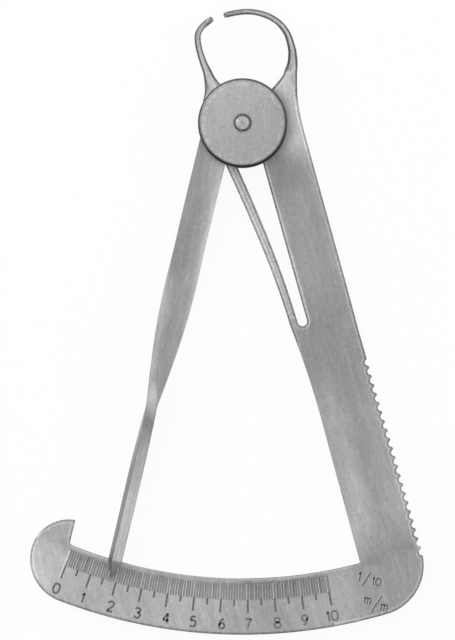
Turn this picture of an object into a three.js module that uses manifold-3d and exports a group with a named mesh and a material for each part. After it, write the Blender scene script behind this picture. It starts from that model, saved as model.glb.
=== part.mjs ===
// Wax caliper: two flat steel arms on one riveted pivot. Each arm ends in a curved measuring jaw. Pressing
// the arms together opens the jaws and carries the pointer along the arc scale, and a leaf spring sawn out of
// the fixed arm brings it back.
//
// Millimetres and degrees. The caliper lies on its back: X to the right, Y towards the jaws, Z up from the
// table. The origin is on the pivot axis, in the outer face of the back disc. A bearing is an angle at the
// pivot axis, measured from straight down (-Y) and positive to the right.

import * as THREE from 'three';
import { mergeVertices } from 'three/addons/utils/BufferGeometryUtils.js';
import Module from 'manifold-3d';

const wasm = await Module();
wasm.setup();

// Measuring geometry: the gap between the tips is what the pointer reads
const jawRadius = 18;               // pivot axis to the point where the jaw tips meet
const closureBearing = -169.9;      // bearing of that point, just left of straight up
const shownReading = 1.79;          // reading at which the caliper lies
const zeroBearing = -21.81;         // bearing of the scale's zero
const scaleInnerRadius = 74.9;
const scaleWidth = 9.25;
const pointerReach = 2.9;           // how far the pointer's point stands over the scale

// Plates, discs and pivot, from back to front
const plateThickness = 1.25;
const edgeBreak = 0.12;             // chamfer along the edges of the plates
const backDiscThickness = 1;
const washerThickness = 0.25;
const frontDiscThickness = 1.6;
const discDiameter = 14.7;
const discRound = 0.3;
const hubDiameter = 13.8;           // round end of each plate under the disc
const washerDiameter = 6.2;
const rivetDiameter = 2;
const rivetHeadDiameter = 2.5;
const rivetHeadHeight = 0.6;
const rivetTailHeight = 0.4;
const headDome = 0.12;              // how far the rivet head stands out of the disc
const headClearance = 0.12;         // round the rivet's head in its recess
const rimBreak = 0.1;               // on the rim of a disc, next to the plates
const pivotClearance = 0.05;        // round the rivet, on each side

// Frame: arm
const armEdgeBearing = 15.65;       // bearing of the straight outer edge
const slotOffset = 1.46;            // pivot axis to the arm's edge along the slot, square to both edges
const armWidth = 7.92;              // beside the slot
const edgeDipStart = 30.5;          // along that edge, which falls away slightly towards the grip
const edgeDip = 0.27;
const innerCornerBearing = 14.98;   // where the arm's inner edge meets the scale
const cornerRadius = 8.3;           // lower right corner
const innerFillet = 0.8;
const innerBendShares = [0.1507, -0.5628];    // of the scale's inner radius
const innerStraightShares = [0.1776, -0.6676];

// Frame: finger grip
const gripStart = 43.45;            // foot of the pivot on the edge to the first notch
const gripPitch = 1.545;            // the notches run on to the lower right corner
const gripOverrun = 1;              // how far the notches run on into that corner's rounding
const notchRadiusShare = 0.356;     // of the pitch
const notchDepth = 0.5;

// Frame: hook at the left end of the scale
const leftEndRadius = 7.3;
const leftEndBearing = -21.09;      // centre of the left end's rounding
const hookBackRadius = 6.3;
const hookBackAngle = 168;          // where the back of the hook leaves that rounding
const hookTipAngle = 80;
const hookRootBearing = -22.37;
const hookFillet = 0.5;

// Frame: right jaw
const jawSetBack = 0.41;            // the jaw's straight back, nearer to the pivot axis than the arm's edge
const jawRootHeight = 8.36;         // where the plate turns into the rod
const jawRootWidth = 2.15;
const rightRodWidth = 1.12;
const rightTipWidth = 0.92;
const rightFlarePower = 6;
const shoulderTop = 3.25;           // up the jaw's back from where its line meets the arm's edge
const shoulderBottom = 4.43;        // down the arm's edge
const webAngle = 50;                // where the jaw's inner edge leaves the hub
const webBlend = 0.73;
const rodOverrun = 0.6;             // how far a rod reaches back into its plate
const rodInset = 0.02;              // rod inside the faces of its plate at the root
const rightJawShares = [            // along and beside the line from the root to the tip
  [0.043, -0.0826], [0.1, -0.1534], [0.1648, -0.2176], [0.3102, -0.3103], [0.4549, -0.344],
  [0.5801, -0.3318], [0.6943, -0.2909], [0.7931, -0.2318], [0.8775, -0.1557], [0.951, -0.0667],
];

// Leaf spring and its window in the hub
const leafReach = 33.1;             // pivot axis down to the spring's root
const leafCurveShares = [           // of that reach: the root and two bends
  [0.2547, -0.997], [0.1616, -0.68], [0.0175, -0.3686],
];
const leafTipAngle = 208.8;
const leafTipGap = 0.51;            // between the tip and the core of the hub
const leafRootWidth = 1.32;
const leafTipWidth = 1.7;
const leafStubShare = 0.03;         // part of the leaf's curve that the frame keeps
const hubCoreRadius = 3.2;
const windowEndAngle = 188;

// Pointer lever: arm, twist and needle. Places are distances along the arm from the pivot.
const pointOffset = 3.95;           // pivot axis to the line on which the point lies
const needleOffset = 4.04;          // pivot axis to the needle's centre line
const armOffset = 3.72;             // pivot axis to the arm's centre line beside the disc
const armStart = 2;
const leverWidth = 5;
const twistStart = 24;
const twistEnd = 58.5;
const needleTurn = 112;             // a little more than square to the plate
const waistPlace = 50;              // where the arm stands on edge and the twist has upset the metal
const waistSpread = 2.6;
const waistSwell = 0.45;
const taperStart = 47;
const taperEnd = 57;
const needleDepth = 3;
const needleLength = 9.7;           // back from the point, this much is wholly in front of the frame
const pointLength = 2.9;
const pointWidth = 0.2;

// Pointer lever: left jaw
const leftRootInset = 0.63;         // from the rim of the hub to the jaw's root
const leftRootAngle = 147.5;        // with the arm straight down
const leftRootWidth = 4.6;
const leftRodWidth = 1.14;
const leftTipWidth = 1;
const leftFlarePower = 6.5;
const leftJawShares = [             // along and beside the line from the root to the tip
  [0.1041, 0.0342], [0.2081, 0.0684], [0.3118, 0.0988], [0.416, 0.1382], [0.52, 0.1691],
  [0.6235, 0.1932], [0.7523, 0.2052], [0.8285, 0.1855], [0.903, 0.1285],
];
const tipDome = 0.22;

// Stud that pushes the leaf spring
const studDiameter = 1.5;
const studShankDiameter = 1;
const studContactShare = 0.95;      // place along the leaf
const studClearance = 0.1;
const studHoleClearance = 0.05;
const studEndGap = 0.1;

// Facets
const roundSteps = 48;
const smallSteps = 24;
const arcSteps = 40;
const bendSteps = 8;
const notchSteps = 5;
const rodSteps = 26;
const leafSteps = 14;
const twistSteps = 30;
const cornerPoints = 4;

// Levels of the stack
const frameBottom = backDiscThickness;
const frameTop = frameBottom + plateThickness;
const leverBottom = frameTop + washerThickness;
const leverTop = leverBottom + plateThickness;
const discTop = leverTop + frontDiscThickness;
const frameMiddle = (frameBottom + frameTop) / 2;
const leverMiddle = (leverBottom + leverTop) / 2;
const tipMiddle = (frameMiddle + leverMiddle) / 2;

const armEdgeOffset = slotOffset + armWidth;
const jawBack = armEdgeOffset - jawSetBack;
const notchRadius = notchRadiusShare * gripPitch;
const scaleOuterRadius = scaleInnerRadius + scaleWidth;
const pointerRadius = scaleInnerRadius + pointerReach;

// Turn of the lever for a reading: the gap is the chord between the tips
const radians = THREE.MathUtils.degToRad;
const opening = (reading) => 2 * Math.asin(reading / (2 * jawRadius));
const closedTurn = radians(zeroBearing) + Math.asin(pointOffset / pointerRadius);
const leverTurn = closedTurn + opening(shownReading);

const atBearing = (radius, bearing) =>
  new THREE.Vector2(radius * Math.sin(bearing), -radius * Math.cos(bearing));
const atAngle = (radius, degrees) =>
  new THREE.Vector2(radius * Math.cos(radians(degrees)), radius * Math.sin(radians(degrees)));
const fromShares = (shares, size) => new THREE.Vector2(shares[0] * size, shares[1] * size);
const arc = (centre, radius, start, end, clockwise, steps) =>
  new THREE.EllipseCurve(centre.x, centre.y, radius, radius, start, end, clockwise).getPoints(steps);
const origin = new THREE.Vector2();

// A point beside the arm: distance down along its outer edge, and offset from the pivot square to the edge
const edgeAcross = atBearing(1, radians(armEdgeBearing) + Math.PI / 2);
const edgeDown = atBearing(1, radians(armEdgeBearing));
const besideEdge = (distance, offset) =>
  edgeDown.clone().multiplyScalar(distance).addScaledVector(edgeAcross, offset);

// Solids

function toSolid(geometry) {
  const bare = geometry.clone();
  bare.deleteAttribute('normal');
  bare.deleteAttribute('uv');
  const merged = mergeVertices(bare);
  return new wasm.Manifold(new wasm.Mesh({
    numProp: 3,
    vertProperties: new Float32Array(merged.attributes.position.array),
    triVerts: new Uint32Array(merged.index.array),
  }));
}

function toGeometry(solid) {
  const mesh = solid.getMesh();
  const geometry = new THREE.BufferGeometry();
  geometry.setAttribute('position', new THREE.BufferAttribute(mesh.vertProperties, mesh.numProp));
  geometry.setIndex(new THREE.BufferAttribute(mesh.triVerts, 1));
  geometry.computeVertexNormals();
  return geometry;
}

// A flat plate with chamfered edges between two levels
function plate(points, bottom, top) {
  const geometry = new THREE.ExtrudeGeometry(new THREE.Shape(points), {
    depth: top - bottom - 2 * edgeBreak,
    bevelThickness: edgeBreak,
    bevelSize: edgeBreak,
    bevelOffset: -edgeBreak,
    bevelSegments: 1,
  });
  return geometry.translate(0, 0, bottom + edgeBreak);
}

// A turned piece about the pivot axis from [radius, height] pairs that close on themselves
function turned(profile, steps) {
  const points = profile.map(([radius, height]) => new THREE.Vector2(radius, height));
  return new THREE.LatheGeometry(points, steps).rotateX(Math.PI / 2);
}

// The outline of a rounded rectangle, four points to a corner, so that it can turn into a circle
function roundedSection(width, depth, radius) {
  const points = [];
  for (let corner = 0; corner < 4; corner += 1) {
    const signX = corner === 0 || corner === 3 ? 1 : -1;
    const signY = corner < 2 ? 1 : -1;
    for (let step = 0; step < cornerPoints; step += 1) {
      const angle = (Math.PI / 2) * (corner + (step + 0.5) / cornerPoints);
      points.push(new THREE.Vector2(
        signX * (width / 2 - radius) + radius * Math.cos(angle),
        signY * (depth / 2 - radius) + radius * Math.sin(angle),
      ));
    }
  }
  return points;
}

// A closed skin through sections: each has a centre, two axes and a rounded rectangle in them. The second
// axis is to the left of the first for someone who looks back along the run.
function loft(stations) {
  const sides = 4 * cornerPoints;
  const positions = [];
  const indices = [];
  for (const { centre, across, out, width, depth, radius } of stations) {
    for (const point of roundedSection(width, depth, radius)) {
      const place = centre.clone().addScaledVector(across, point.x).addScaledVector(out, point.y);
      positions.push(place.x, place.y, place.z);
    }
  }
  for (let ring = 0; ring < stations.length - 1; ring += 1) {
    for (let side = 0; side < sides; side += 1) {
      const a = ring * sides + side;
      const b = ring * sides + ((side + 1) % sides);
      indices.push(a, b, b + sides, a, b + sides, a + sides);
    }
  }
  const first = positions.length / 3;
  const last = first + 1;
  const start = stations[0].centre;
  const end = stations[stations.length - 1].centre;
  positions.push(start.x, start.y, start.z, end.x, end.y, end.z);
  for (let side = 0; side < sides; side += 1) {
    const next = (side + 1) % sides;
    const lastRing = (stations.length - 1) * sides;
    indices.push(first, next, side, last, lastRing + side, lastRing + next);
  }
  const geometry = new THREE.BufferGeometry();
  geometry.setAttribute('position', new THREE.Float32BufferAttribute(positions, 3));
  geometry.setIndex(indices);
  return geometry;
}

// The places on a jaw's centre line, given as shares along and beside the line from its root to its tip
function jawPlaces(root, tip, shares) {
  const along = tip.clone().sub(root);
  const beside = new THREE.Vector2(-along.y, along.x);
  const between = shares.map(([first, second]) =>
    root.clone().addScaledVector(along, first).addScaledVector(beside, second));
  return [root, ...between, tip];
}

// A jaw: a rod that leaves its plate flat and wide, and turns round towards a domed tip. It crosses from the
// level of its plate to the level at which the tips meet.
function jawRod({ path, overrun, rootWidth, rodWidth, tipWidth, flarePower, level }) {
  const up = new THREE.Vector3(0, 0, 1);
  const length = path.getLength();
  const domeShare = tipDome / length;
  const rootShare = overrun / length;
  const shares = [];
  for (let step = 0; step <= rodSteps; step += 1) {
    shares.push((1 - domeShare) * (step / rodSteps));
  }
  const domeSteps = [[0.5, 0.86], [1, 0.45]];
  const widthAt = (share) => {
    const fromRoot = Math.max(0, share - rootShare) / (1 - rootShare);
    return rodWidth + (tipWidth - rodWidth) * share + (rootWidth - rodWidth) * (1 - fromRoot) ** flarePower;
  };
  const station = (share, scale) => {
    const place = path.getPointAt(Math.min(share, 1));
    const tangent = path.getTangentAt(Math.min(share, 1));
    const width = widthAt(share);
    const depth = Math.min(plateThickness - 2 * rodInset, width);
    const rounding = THREE.MathUtils.smoothstep(share, 0, 0.35);
    const radius = THREE.MathUtils.lerp(edgeBreak, depth / 2, rounding);
    const height = THREE.MathUtils.lerp(level, tipMiddle, THREE.MathUtils.smoothstep(share, 0.15, 0.9));
    return {
      centre: new THREE.Vector3(place.x, place.y, height),
      across: new THREE.Vector3(-tangent.y, tangent.x, 0),
      out: up,
      width: width * scale,
      depth: depth * scale,
      radius: radius * scale,
    };
  };
  const stations = shares.map((share) => station(share, 1));
  for (const [along, scale] of domeSteps) {
    stations.push(station(1 - domeShare * (1 - along), scale));
  }
  return loft(stations);
}

// Leaf spring: a strip about a curve, wider towards its free end. Side is 1 on the right and -1 on the left,
// and gap is a distance out from that edge.
const leafCurve = new THREE.CubicBezierCurve(
  ...leafCurveShares.map((shares) => fromShares(shares, leafReach)),
  atAngle(hubCoreRadius + leafTipGap + leafTipWidth / 2, leafTipAngle),
);

function leafEdge(share, side, gap = 0) {
  const tangent = leafCurve.getTangent(share);
  const halfWidth = THREE.MathUtils.lerp(leafRootWidth, leafTipWidth, share) / 2;
  const square = new THREE.Vector2(tangent.y, -tangent.x);
  return leafCurve.getPoint(share).addScaledVector(square, side * (halfWidth + gap));
}

function leafRun(from, to, side, steps) {
  const points = [];
  for (let step = 0; step <= steps; step += 1) {
    points.push(leafEdge(THREE.MathUtils.lerp(from, to, step / steps), side));
  }
  return points;
}

function leafGeometry() {
  const outline = [
    ...leafRun(leafStubShare, 1, 1, leafSteps),
    ...leafRun(1, leafStubShare, -1, leafSteps),
  ];
  return plate(outline, frameBottom, frameTop);
}

// Frame

function gripNotch(index) {
  const inside = notchRadius - notchDepth;
  const centre = besideEdge(gripStart + index * gripPitch, armEdgeOffset + inside);
  const lean = Math.asin(inside / notchRadius);
  const turn = radians(armEdgeBearing);
  return arc(centre, notchRadius, Math.PI / 2 + turn + lean, Math.PI * 1.5 + turn - lean, false, notchSteps);
}

// A small rounding between two straight runs that meet in a corner
function fillet(before, corner, after, size) {
  const start = corner.clone().add(before.clone().sub(corner).setLength(size));
  const end = corner.clone().add(after.clone().sub(corner).setLength(size));
  return new THREE.QuadraticBezierCurve(start, corner, end).getPoints(cornerPoints);
}

function frameOutline() {
  const outline = [];
  const jawRootBack = new THREE.Vector2(jawBack, jawRootHeight);
  const jawRootFront = new THREE.Vector2(jawBack - jawRootWidth, jawRootHeight);

  // Back of the jaw, shoulder and straight outer edge with its grip
  const shoulderDistance = (jawBack - armEdgeOffset * edgeAcross.x) / edgeDown.x;
  const shoulderCorner = besideEdge(shoulderDistance, armEdgeOffset);
  const shoulder = new THREE.QuadraticBezierCurve(
    new THREE.Vector2(jawBack, shoulderCorner.y + shoulderTop),
    shoulderCorner,
    besideEdge(shoulderDistance + shoulderBottom, armEdgeOffset),
  );
  const cornerOffset = armEdgeOffset - cornerRadius;
  const cornerDistance = Math.sqrt((scaleOuterRadius - cornerRadius) ** 2 - cornerOffset ** 2);
  const gripLength = cornerDistance + gripOverrun - notchRadius - gripStart;
  const lastNotch = Math.floor(gripLength / gripPitch);
  outline.push(jawRootBack, ...shoulder.getPoints(bendSteps));
  outline.push(besideEdge(edgeDipStart, armEdgeOffset));
  outline.push(besideEdge(gripStart - gripPitch, armEdgeOffset - edgeDip));
  for (let index = 0; index <= lastNotch; index += 1) {
    outline.push(...gripNotch(index));
  }

  // Lower right corner, from the end of the last notch, outer arc and left end, each tangent to the next
  const gripEnd = gripStart + lastNotch * gripPitch + notchRadius + 2 * edgeBreak;
  const cornerLean = Math.asin(Math.max(0, gripEnd - cornerDistance) / cornerRadius);
  const cornerCentre = besideEdge(cornerDistance, cornerOffset);
  const cornerStart = radians(armEdgeBearing) - cornerLean;
  const cornerEnd = Math.atan2(cornerCentre.y, cornerCentre.x);
  outline.push(...arc(cornerCentre, cornerRadius, cornerStart, cornerEnd, true, bendSteps * 2));
  const endCentre = atBearing(scaleOuterRadius - leftEndRadius, radians(leftEndBearing));
  const endAngle = radians(leftEndBearing) - Math.PI / 2;
  const backAngle = radians(hookBackAngle - 360);
  outline.push(...arc(origin, scaleOuterRadius, cornerEnd, endAngle, true, arcSteps).slice(1));
  outline.push(...arc(endCentre, leftEndRadius, endAngle, backAngle, true, bendSteps).slice(1));

  // Hook: its back, its tip and its inner edge down to the scale
  const backCentre = endCentre.clone().add(atAngle(leftEndRadius - hookBackRadius, hookBackAngle));
  const tipAngle = radians(hookTipAngle - 360);
  const hookBack = arc(backCentre, hookBackRadius, backAngle, tipAngle, true, bendSteps * 2);
  outline.push(...hookBack.slice(1));
  const hookTip = hookBack[hookBack.length - 1];
  const hookRootAngle = radians(hookRootBearing) + hookFillet / scaleInnerRadius;
  const innerEndAngle = radians(innerCornerBearing) - innerFillet / scaleInnerRadius;
  const hookRoot = atBearing(scaleInnerRadius, radians(hookRootBearing));
  outline.push(...fillet(hookTip, hookRoot, atBearing(scaleInnerRadius, hookRootAngle), hookFillet));

  // Inner arc and inner edge of the arm, up to the root of the leaf spring
  const arcStart = hookRootAngle - Math.PI / 2;
  const arcEnd = innerEndAngle - Math.PI / 2;
  const innerArc = arc(origin, scaleInnerRadius, arcStart, arcEnd, false, arcSteps);
  const innerCorner = atBearing(scaleInnerRadius, radians(innerCornerBearing));
  const innerStraight = fromShares(innerStraightShares, scaleInnerRadius);
  const innerBend = fromShares(innerBendShares, scaleInnerRadius);
  const innerEdge = new THREE.QuadraticBezierCurve(innerStraight, innerBend, leafEdge(0, -1));
  outline.push(...innerArc.slice(1, -1));
  outline.push(...fillet(innerArc[innerArc.length - 2], innerCorner, innerStraight, innerFillet));
  outline.push(...innerEdge.getPoints(bendSteps));

  // Stub of the leaf spring, round end of the slot and the arm's edge along the slot
  outline.push(leafEdge(leafStubShare, -1), leafEdge(leafStubShare, 1));
  const slotLeft = leafEdge(0, 1);
  const slotRight = besideEdge(slotLeft.dot(edgeDown), slotOffset);
  const slotCentre = slotLeft.clone().lerp(slotRight, 0.5);
  const slotRadius = slotCentre.distanceTo(slotRight);
  const slotAngle = slotRight.clone().sub(slotCentre).angle();
  const slotEnd = arc(slotCentre, slotRadius, slotAngle + Math.PI, slotAngle + 2 * Math.PI, false, bendSteps);
  outline.push(...slotEnd);

  // Window in the hub for the spring's end, round end of the plate and inner edge of the jaw's root
  const windowStart = besideEdge(Math.sqrt(hubCoreRadius ** 2 - slotOffset ** 2), slotOffset);
  const coreStart = Math.atan2(windowStart.y, windowStart.x);
  const windowEnd = radians(windowEndAngle - 360);
  const hubRadius = hubDiameter / 2;
  outline.push(...arc(origin, hubCoreRadius, coreStart, windowEnd, true, bendSteps * 2));
  outline.push(...arc(origin, hubRadius, windowEnd + 2 * Math.PI, radians(webAngle), true, bendSteps * 3));
  const [jawRoot, jawNext] = rightJawPlaces();
  const webBend = jawRootFront.clone().sub(jawNext.sub(jawRoot).setLength(webBlend));
  const web = new THREE.QuadraticBezierCurve(atAngle(hubRadius, webAngle), webBend, jawRootFront);
  outline.push(...web.getPoints(bendSteps).slice(1));
  return outline;
}

function rightJawPlaces() {
  const root = new THREE.Vector2(jawBack - jawRootWidth / 2, jawRootHeight);
  return jawPlaces(root, atBearing(jawRadius, radians(closureBearing)), rightJawShares);
}

function rightJaw() {
  const places = rightJawPlaces();
  const start = places[0].clone().sub(new THREE.Vector2(0, rodOverrun));
  return jawRod({
    path: new THREE.SplineCurve([start, ...places]),
    overrun: rodOverrun,
    rootWidth: jawRootWidth - 2 * rodInset,
    rodWidth: rightRodWidth,
    tipWidth: rightTipWidth,
    flarePower: rightFlarePower,
    level: frameMiddle,
  });
}

function pinHole(radius) {
  const reach = edgeBreak + discTop;
  return toSolid(turned([[0, -reach], [radius, -reach], [radius, reach], [0, reach]], smallSteps));
}

function frameGeometry() {
  const body = toSolid(plate(frameOutline(), frameBottom, frameTop));
  const hole = pinHole(rivetDiameter / 2 + pivotClearance);
  return toGeometry(body.add(toSolid(rightJaw())).subtract(hole));
}

// Lever, in its own frame: the arm points straight down and the group turns it to the reading

// How far between two places along the arm a distance is, from 0 to 1
const shareBetween = (distance, from, to) => THREE.MathUtils.clamp((distance - from) / (to - from), 0, 1);

// The arm lies flat, turns about its own centre line until its edge is uppermost, narrows to a needle and
// rises in front of the scale. Each value is a function of the distance along it.
function leverArm() {
  const { lerp, smoothstep } = THREE.MathUtils;
  const thickness = plateThickness - 2 * rodInset;
  const pointAlong = Math.sqrt(pointerRadius ** 2 - pointOffset ** 2);
  const needleStart = pointAlong - needleLength;
  const needleMiddle = leverBottom + (needleDepth / 2) * Math.sin(radians(needleTurn))
    + (thickness / 2) * Math.abs(Math.cos(radians(needleTurn)));
  const station = (distance) => {
    const twist = shareBetween(distance, twistStart, twistEnd);
    const turn = radians(needleTurn) * ((twist + smoothstep(twist, 0, 1)) / 2);
    const swell = waistSwell * Math.exp(-(((distance - waistPlace) / waistSpread) ** 2));
    const offset = lerp(armOffset, needleOffset, shareBetween(distance, armStart, twistEnd));
    const height = lerp(leverMiddle, needleMiddle, smoothstep(distance, taperEnd, needleStart));
    return {
      centre: new THREE.Vector3(-offset, -distance, height),
      across: new THREE.Vector3(Math.cos(turn), 0, -Math.sin(turn)),
      out: new THREE.Vector3(Math.sin(turn), 0, Math.cos(turn)),
      width: lerp(leverWidth, needleDepth, smoothstep(distance, taperStart, taperEnd)),
      depth: thickness + swell,
      radius: edgeBreak,
    };
  };
  const stations = [station(armStart)];
  for (let step = 0; step <= twistSteps; step += 1) {
    stations.push(station(lerp(twistStart, needleStart, step / twistSteps)));
  }
  stations.push(station(pointAlong - pointLength));
  stations.push({
    ...station(pointAlong),
    centre: new THREE.Vector3(-pointOffset, -pointAlong, leverBottom + pointWidth),
    width: pointWidth,
    depth: pointWidth,
    radius: pointWidth / 4,
  });
  return loft(stations);
}

function leftJaw() {
  const root = atAngle(hubDiameter / 2 - leftRootInset, leftRootAngle);
  const tip = atBearing(jawRadius, radians(closureBearing) - closedTurn);
  return jawRod({
    path: new THREE.SplineCurve(jawPlaces(root, tip, leftJawShares)),
    overrun: 0,
    rootWidth: leftRootWidth,
    rodWidth: leftRodWidth,
    tipWidth: leftTipWidth,
    flarePower: leftFlarePower,
    level: leverMiddle,
  });
}

function studPlace() {
  const place = leafEdge(studContactShare, -1, studClearance + studDiameter / 2);
  return place.rotateAround(origin, -leverTurn);
}

function leverGeometry() {
  const hub = toSolid(plate(arc(origin, hubDiameter / 2, 0, 2 * Math.PI, false, roundSteps).slice(1),
    leverBottom, leverTop));
  const stud = studPlace();
  const studHole = pinHole(studShankDiameter / 2 + studHoleClearance).translate([stud.x, stud.y, 0]);
  return toGeometry(hub
    .add(toSolid(leverArm()))
    .add(toSolid(leftJaw()))
    .subtract(pinHole(rivetDiameter / 2 + pivotClearance))
    .subtract(studHole));
}

function studGeometry() {
  const end = studDiameter / 2;
  const shank = studShankDiameter / 2;
  return turned([
    [0, frameBottom + studEndGap], [end, frameBottom + studEndGap], [end, leverBottom],
    [shank, leverBottom], [shank, leverTop - studEndGap], [0, leverTop - studEndGap],
  ], smallSteps);
}

// Pivot

// A disc with a hole, a recess for the rivet's head on the side away from the plates, and a rounded rim
function discGeometry(inner, outer) {
  const side = Math.sign(outer - inner);
  const hole = rivetDiameter / 2 + pivotClearance;
  const recess = rivetHeadDiameter / 2 + headClearance;
  const seat = outer - side * (side > 0 ? rivetHeadHeight : rivetTailHeight);
  const rim = discDiameter / 2;
  const profile = [[hole, inner], [rim - rimBreak, inner], [rim, inner + side * rimBreak]];
  for (let step = 0; step <= cornerPoints; step += 1) {
    const angle = (Math.PI / 2) * (step / cornerPoints);
    profile.push([
      rim - discRound * (1 - Math.cos(angle)),
      outer - side * discRound * (1 - Math.sin(angle)),
    ]);
  }
  profile.push([recess, outer], [recess, seat], [hole, seat], [hole, inner]);
  return turned(side > 0 ? profile : profile.reverse(), roundSteps);
}

function washerGeometry() {
  const hole = rivetDiameter / 2 + pivotClearance;
  const rim = washerDiameter / 2;
  return turned([
    [hole, frameTop], [rim, frameTop], [rim, leverBottom], [hole, leverBottom], [hole, frameTop],
  ], roundSteps);
}

function rivetGeometry() {
  const shank = rivetDiameter / 2;
  const head = rivetHeadDiameter / 2;
  const profile = [
    [0, 0], [head, 0], [head, rivetTailHeight], [shank, rivetTailHeight],
    [shank, discTop - rivetHeadHeight], [head, discTop - rivetHeadHeight],
  ];
  for (let step = 0; step < cornerPoints; step += 1) {
    const angle = (Math.PI / 2) * (step / cornerPoints);
    profile.push([head * Math.cos(angle), discTop + headDome * Math.sin(angle)]);
  }
  profile.push([0, discTop + headDome]);
  return turned(profile, smallSteps);
}

// Scene graph

function steel(color, roughness) {
  return new THREE.MeshStandardMaterial({ color, roughness, metalness: 1 });
}

function piece(name, geometry, material) {
  const mesh = new THREE.Mesh(geometry, material);
  mesh.name = name;
  return mesh;
}

const brushed = steel(0xa6a6a4, 0.42);
const polished = steel(0xb4b4b2, 0.32);

const frame = new THREE.Group();
frame.add(
  piece('frame_plate', frameGeometry(), brushed),
  piece('leaf_spring', leafGeometry(), brushed),
  piece('back_disc', discGeometry(frameBottom, 0), polished),
  piece('hub_washer', washerGeometry(), polished),
  piece('front_disc', discGeometry(leverTop, discTop), polished),
  piece('pivot_rivet', rivetGeometry(), polished),
);

const lever = new THREE.Group();
const stud = piece('spring_stud', studGeometry(), polished);
stud.position.set(studPlace().x, studPlace().y, 0);
lever.add(piece('pointer_lever', leverGeometry(), brushed), stud);
lever.rotation.z = leverTurn;

const caliper = new THREE.Group();
caliper.add(frame, lever);

export default caliper;
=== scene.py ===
"""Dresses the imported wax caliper: brushed sheet-steel plates with rounded edges, a twisted pointer, faced
discs on a riveted pivot and an engraved scale, lying on a pale table in soft light.

Shapes are worked out in millimetres in the part's own frame and put into meshes in metres: X to the right,
Y towards the jaws, Z up from the table, origin on the pivot axis. A bearing is an angle at the pivot axis,
measured from straight down and positive to the right.
"""

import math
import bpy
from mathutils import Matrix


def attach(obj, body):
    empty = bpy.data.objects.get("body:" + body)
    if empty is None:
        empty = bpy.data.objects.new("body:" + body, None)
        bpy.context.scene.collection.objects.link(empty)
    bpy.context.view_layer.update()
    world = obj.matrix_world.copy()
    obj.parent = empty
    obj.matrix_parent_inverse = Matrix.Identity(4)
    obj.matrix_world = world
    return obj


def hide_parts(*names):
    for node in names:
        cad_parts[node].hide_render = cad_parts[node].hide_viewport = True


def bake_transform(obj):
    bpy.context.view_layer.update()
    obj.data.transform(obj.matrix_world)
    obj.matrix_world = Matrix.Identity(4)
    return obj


bl_info = {
    "name": "Wax Caliper Dressing",
    "version": (1, 0, 0),
    "blender": (4, 5, 0),
    "location": "3D View > Sidebar > Caliper",
    "description": "Builds the steel pieces, the engraved scale and the table of a wax caliper",
    "category": "Object",
}

import bpy
import numpy as np
from bpy.props import FloatProperty, FloatVectorProperty, IntProperty, PointerProperty
from bpy.types import Operator, Panel, PropertyGroup
from mathutils import Vector
from mathutils.geometry import delaunay_2d_cdt

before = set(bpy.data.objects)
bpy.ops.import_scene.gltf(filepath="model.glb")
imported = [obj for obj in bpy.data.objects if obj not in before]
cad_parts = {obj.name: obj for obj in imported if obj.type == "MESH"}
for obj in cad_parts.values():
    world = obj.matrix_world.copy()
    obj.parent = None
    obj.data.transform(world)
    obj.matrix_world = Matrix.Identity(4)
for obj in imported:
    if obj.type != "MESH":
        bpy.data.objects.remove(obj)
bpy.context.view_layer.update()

MM = 0.001

# Degrees between faces past which an edge looks sharp
SHARP_ANGLE = 38

# Measuring geometry, in millimetres and degrees
JAW_RADIUS = 18.0
CLOSURE_BEARING = -169.9
SHOWN_READING = 1.79
ZERO_BEARING = -21.81
SCALE_INNER = 74.9
SCALE_OUTER = 84.15
POINTER_RADIUS = 77.8
POINT_OFFSET = 3.95

# Levels of the stack, from the table up
FRAME_BOTTOM, FRAME_TOP = 1.0, 2.25
LEVER_BOTTOM, LEVER_TOP = 2.5, 3.75
DISC_TOP = 5.35
TIP_LEVEL = 2.375
FRAME_LEVEL, LEVER_LEVEL = (FRAME_BOTTOM + FRAME_TOP) / 2, (LEVER_BOTTOM + LEVER_TOP) / 2
PLATE_HALF = (FRAME_TOP - FRAME_BOTTOM) / 2

# Frame plate; the dips are how far the arm's edge is in from a straight line, by the distance down along it
ARM_EDGE_BEARING = 15.65
SLOT_OFFSET = 1.46
ARM_EDGE = 9.38
EDGE_DIPS = ((30.5, 0.1), (38.5, 0.2), (42, 0.2), (44, 0.14), (49.5, 0.14), (57, 0), (63, -0.03), (70, -0.05),
             (75, 0))
GRIP_START = 43.45
GRIP_PITCH = 1.545
NOTCH_RADIUS = 0.55
NOTCH_DEPTH = 0.5
NOTCH_COUNT = 22
TOOTH_ROUND = 0.2
TOOTH_LEAD = 21
GRIP_TAIL = 0.24
CORNER_RADIUS = 8.3
INNER_BEND = (11.287, -42.154)
INNER_STRAIGHT = (13.302, -50.003)
INNER_CORNER_BEARING = 14.98
INNER_FILLET = 0.3
LEFT_END_RADIUS = 7.3
LEFT_END_BEARING = -21.09
HOOK_BACK_RADIUS = 6.3
HOOK_BACK_ANGLE = 168.0
HOOK_TIP_ANGLE = 80.0
HOOK_ROOT_BEARING = -22.37
HOOK_FILLET = 0.5
HUB_RADIUS = 6.9
CORE_RADIUS = 3.2
WINDOW_END_ANGLE = 188.0
WEB_ANGLE = 50.0
JAW_BACK = 8.97
JAW_ROOT_HEIGHT = 8.36
JAW_ROOT_WIDTH = 2.15
WEB_BEND = 0.73
SHOULDER_TOP = 3.25
SHOULDER_BOTTOM = 4.43

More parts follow.
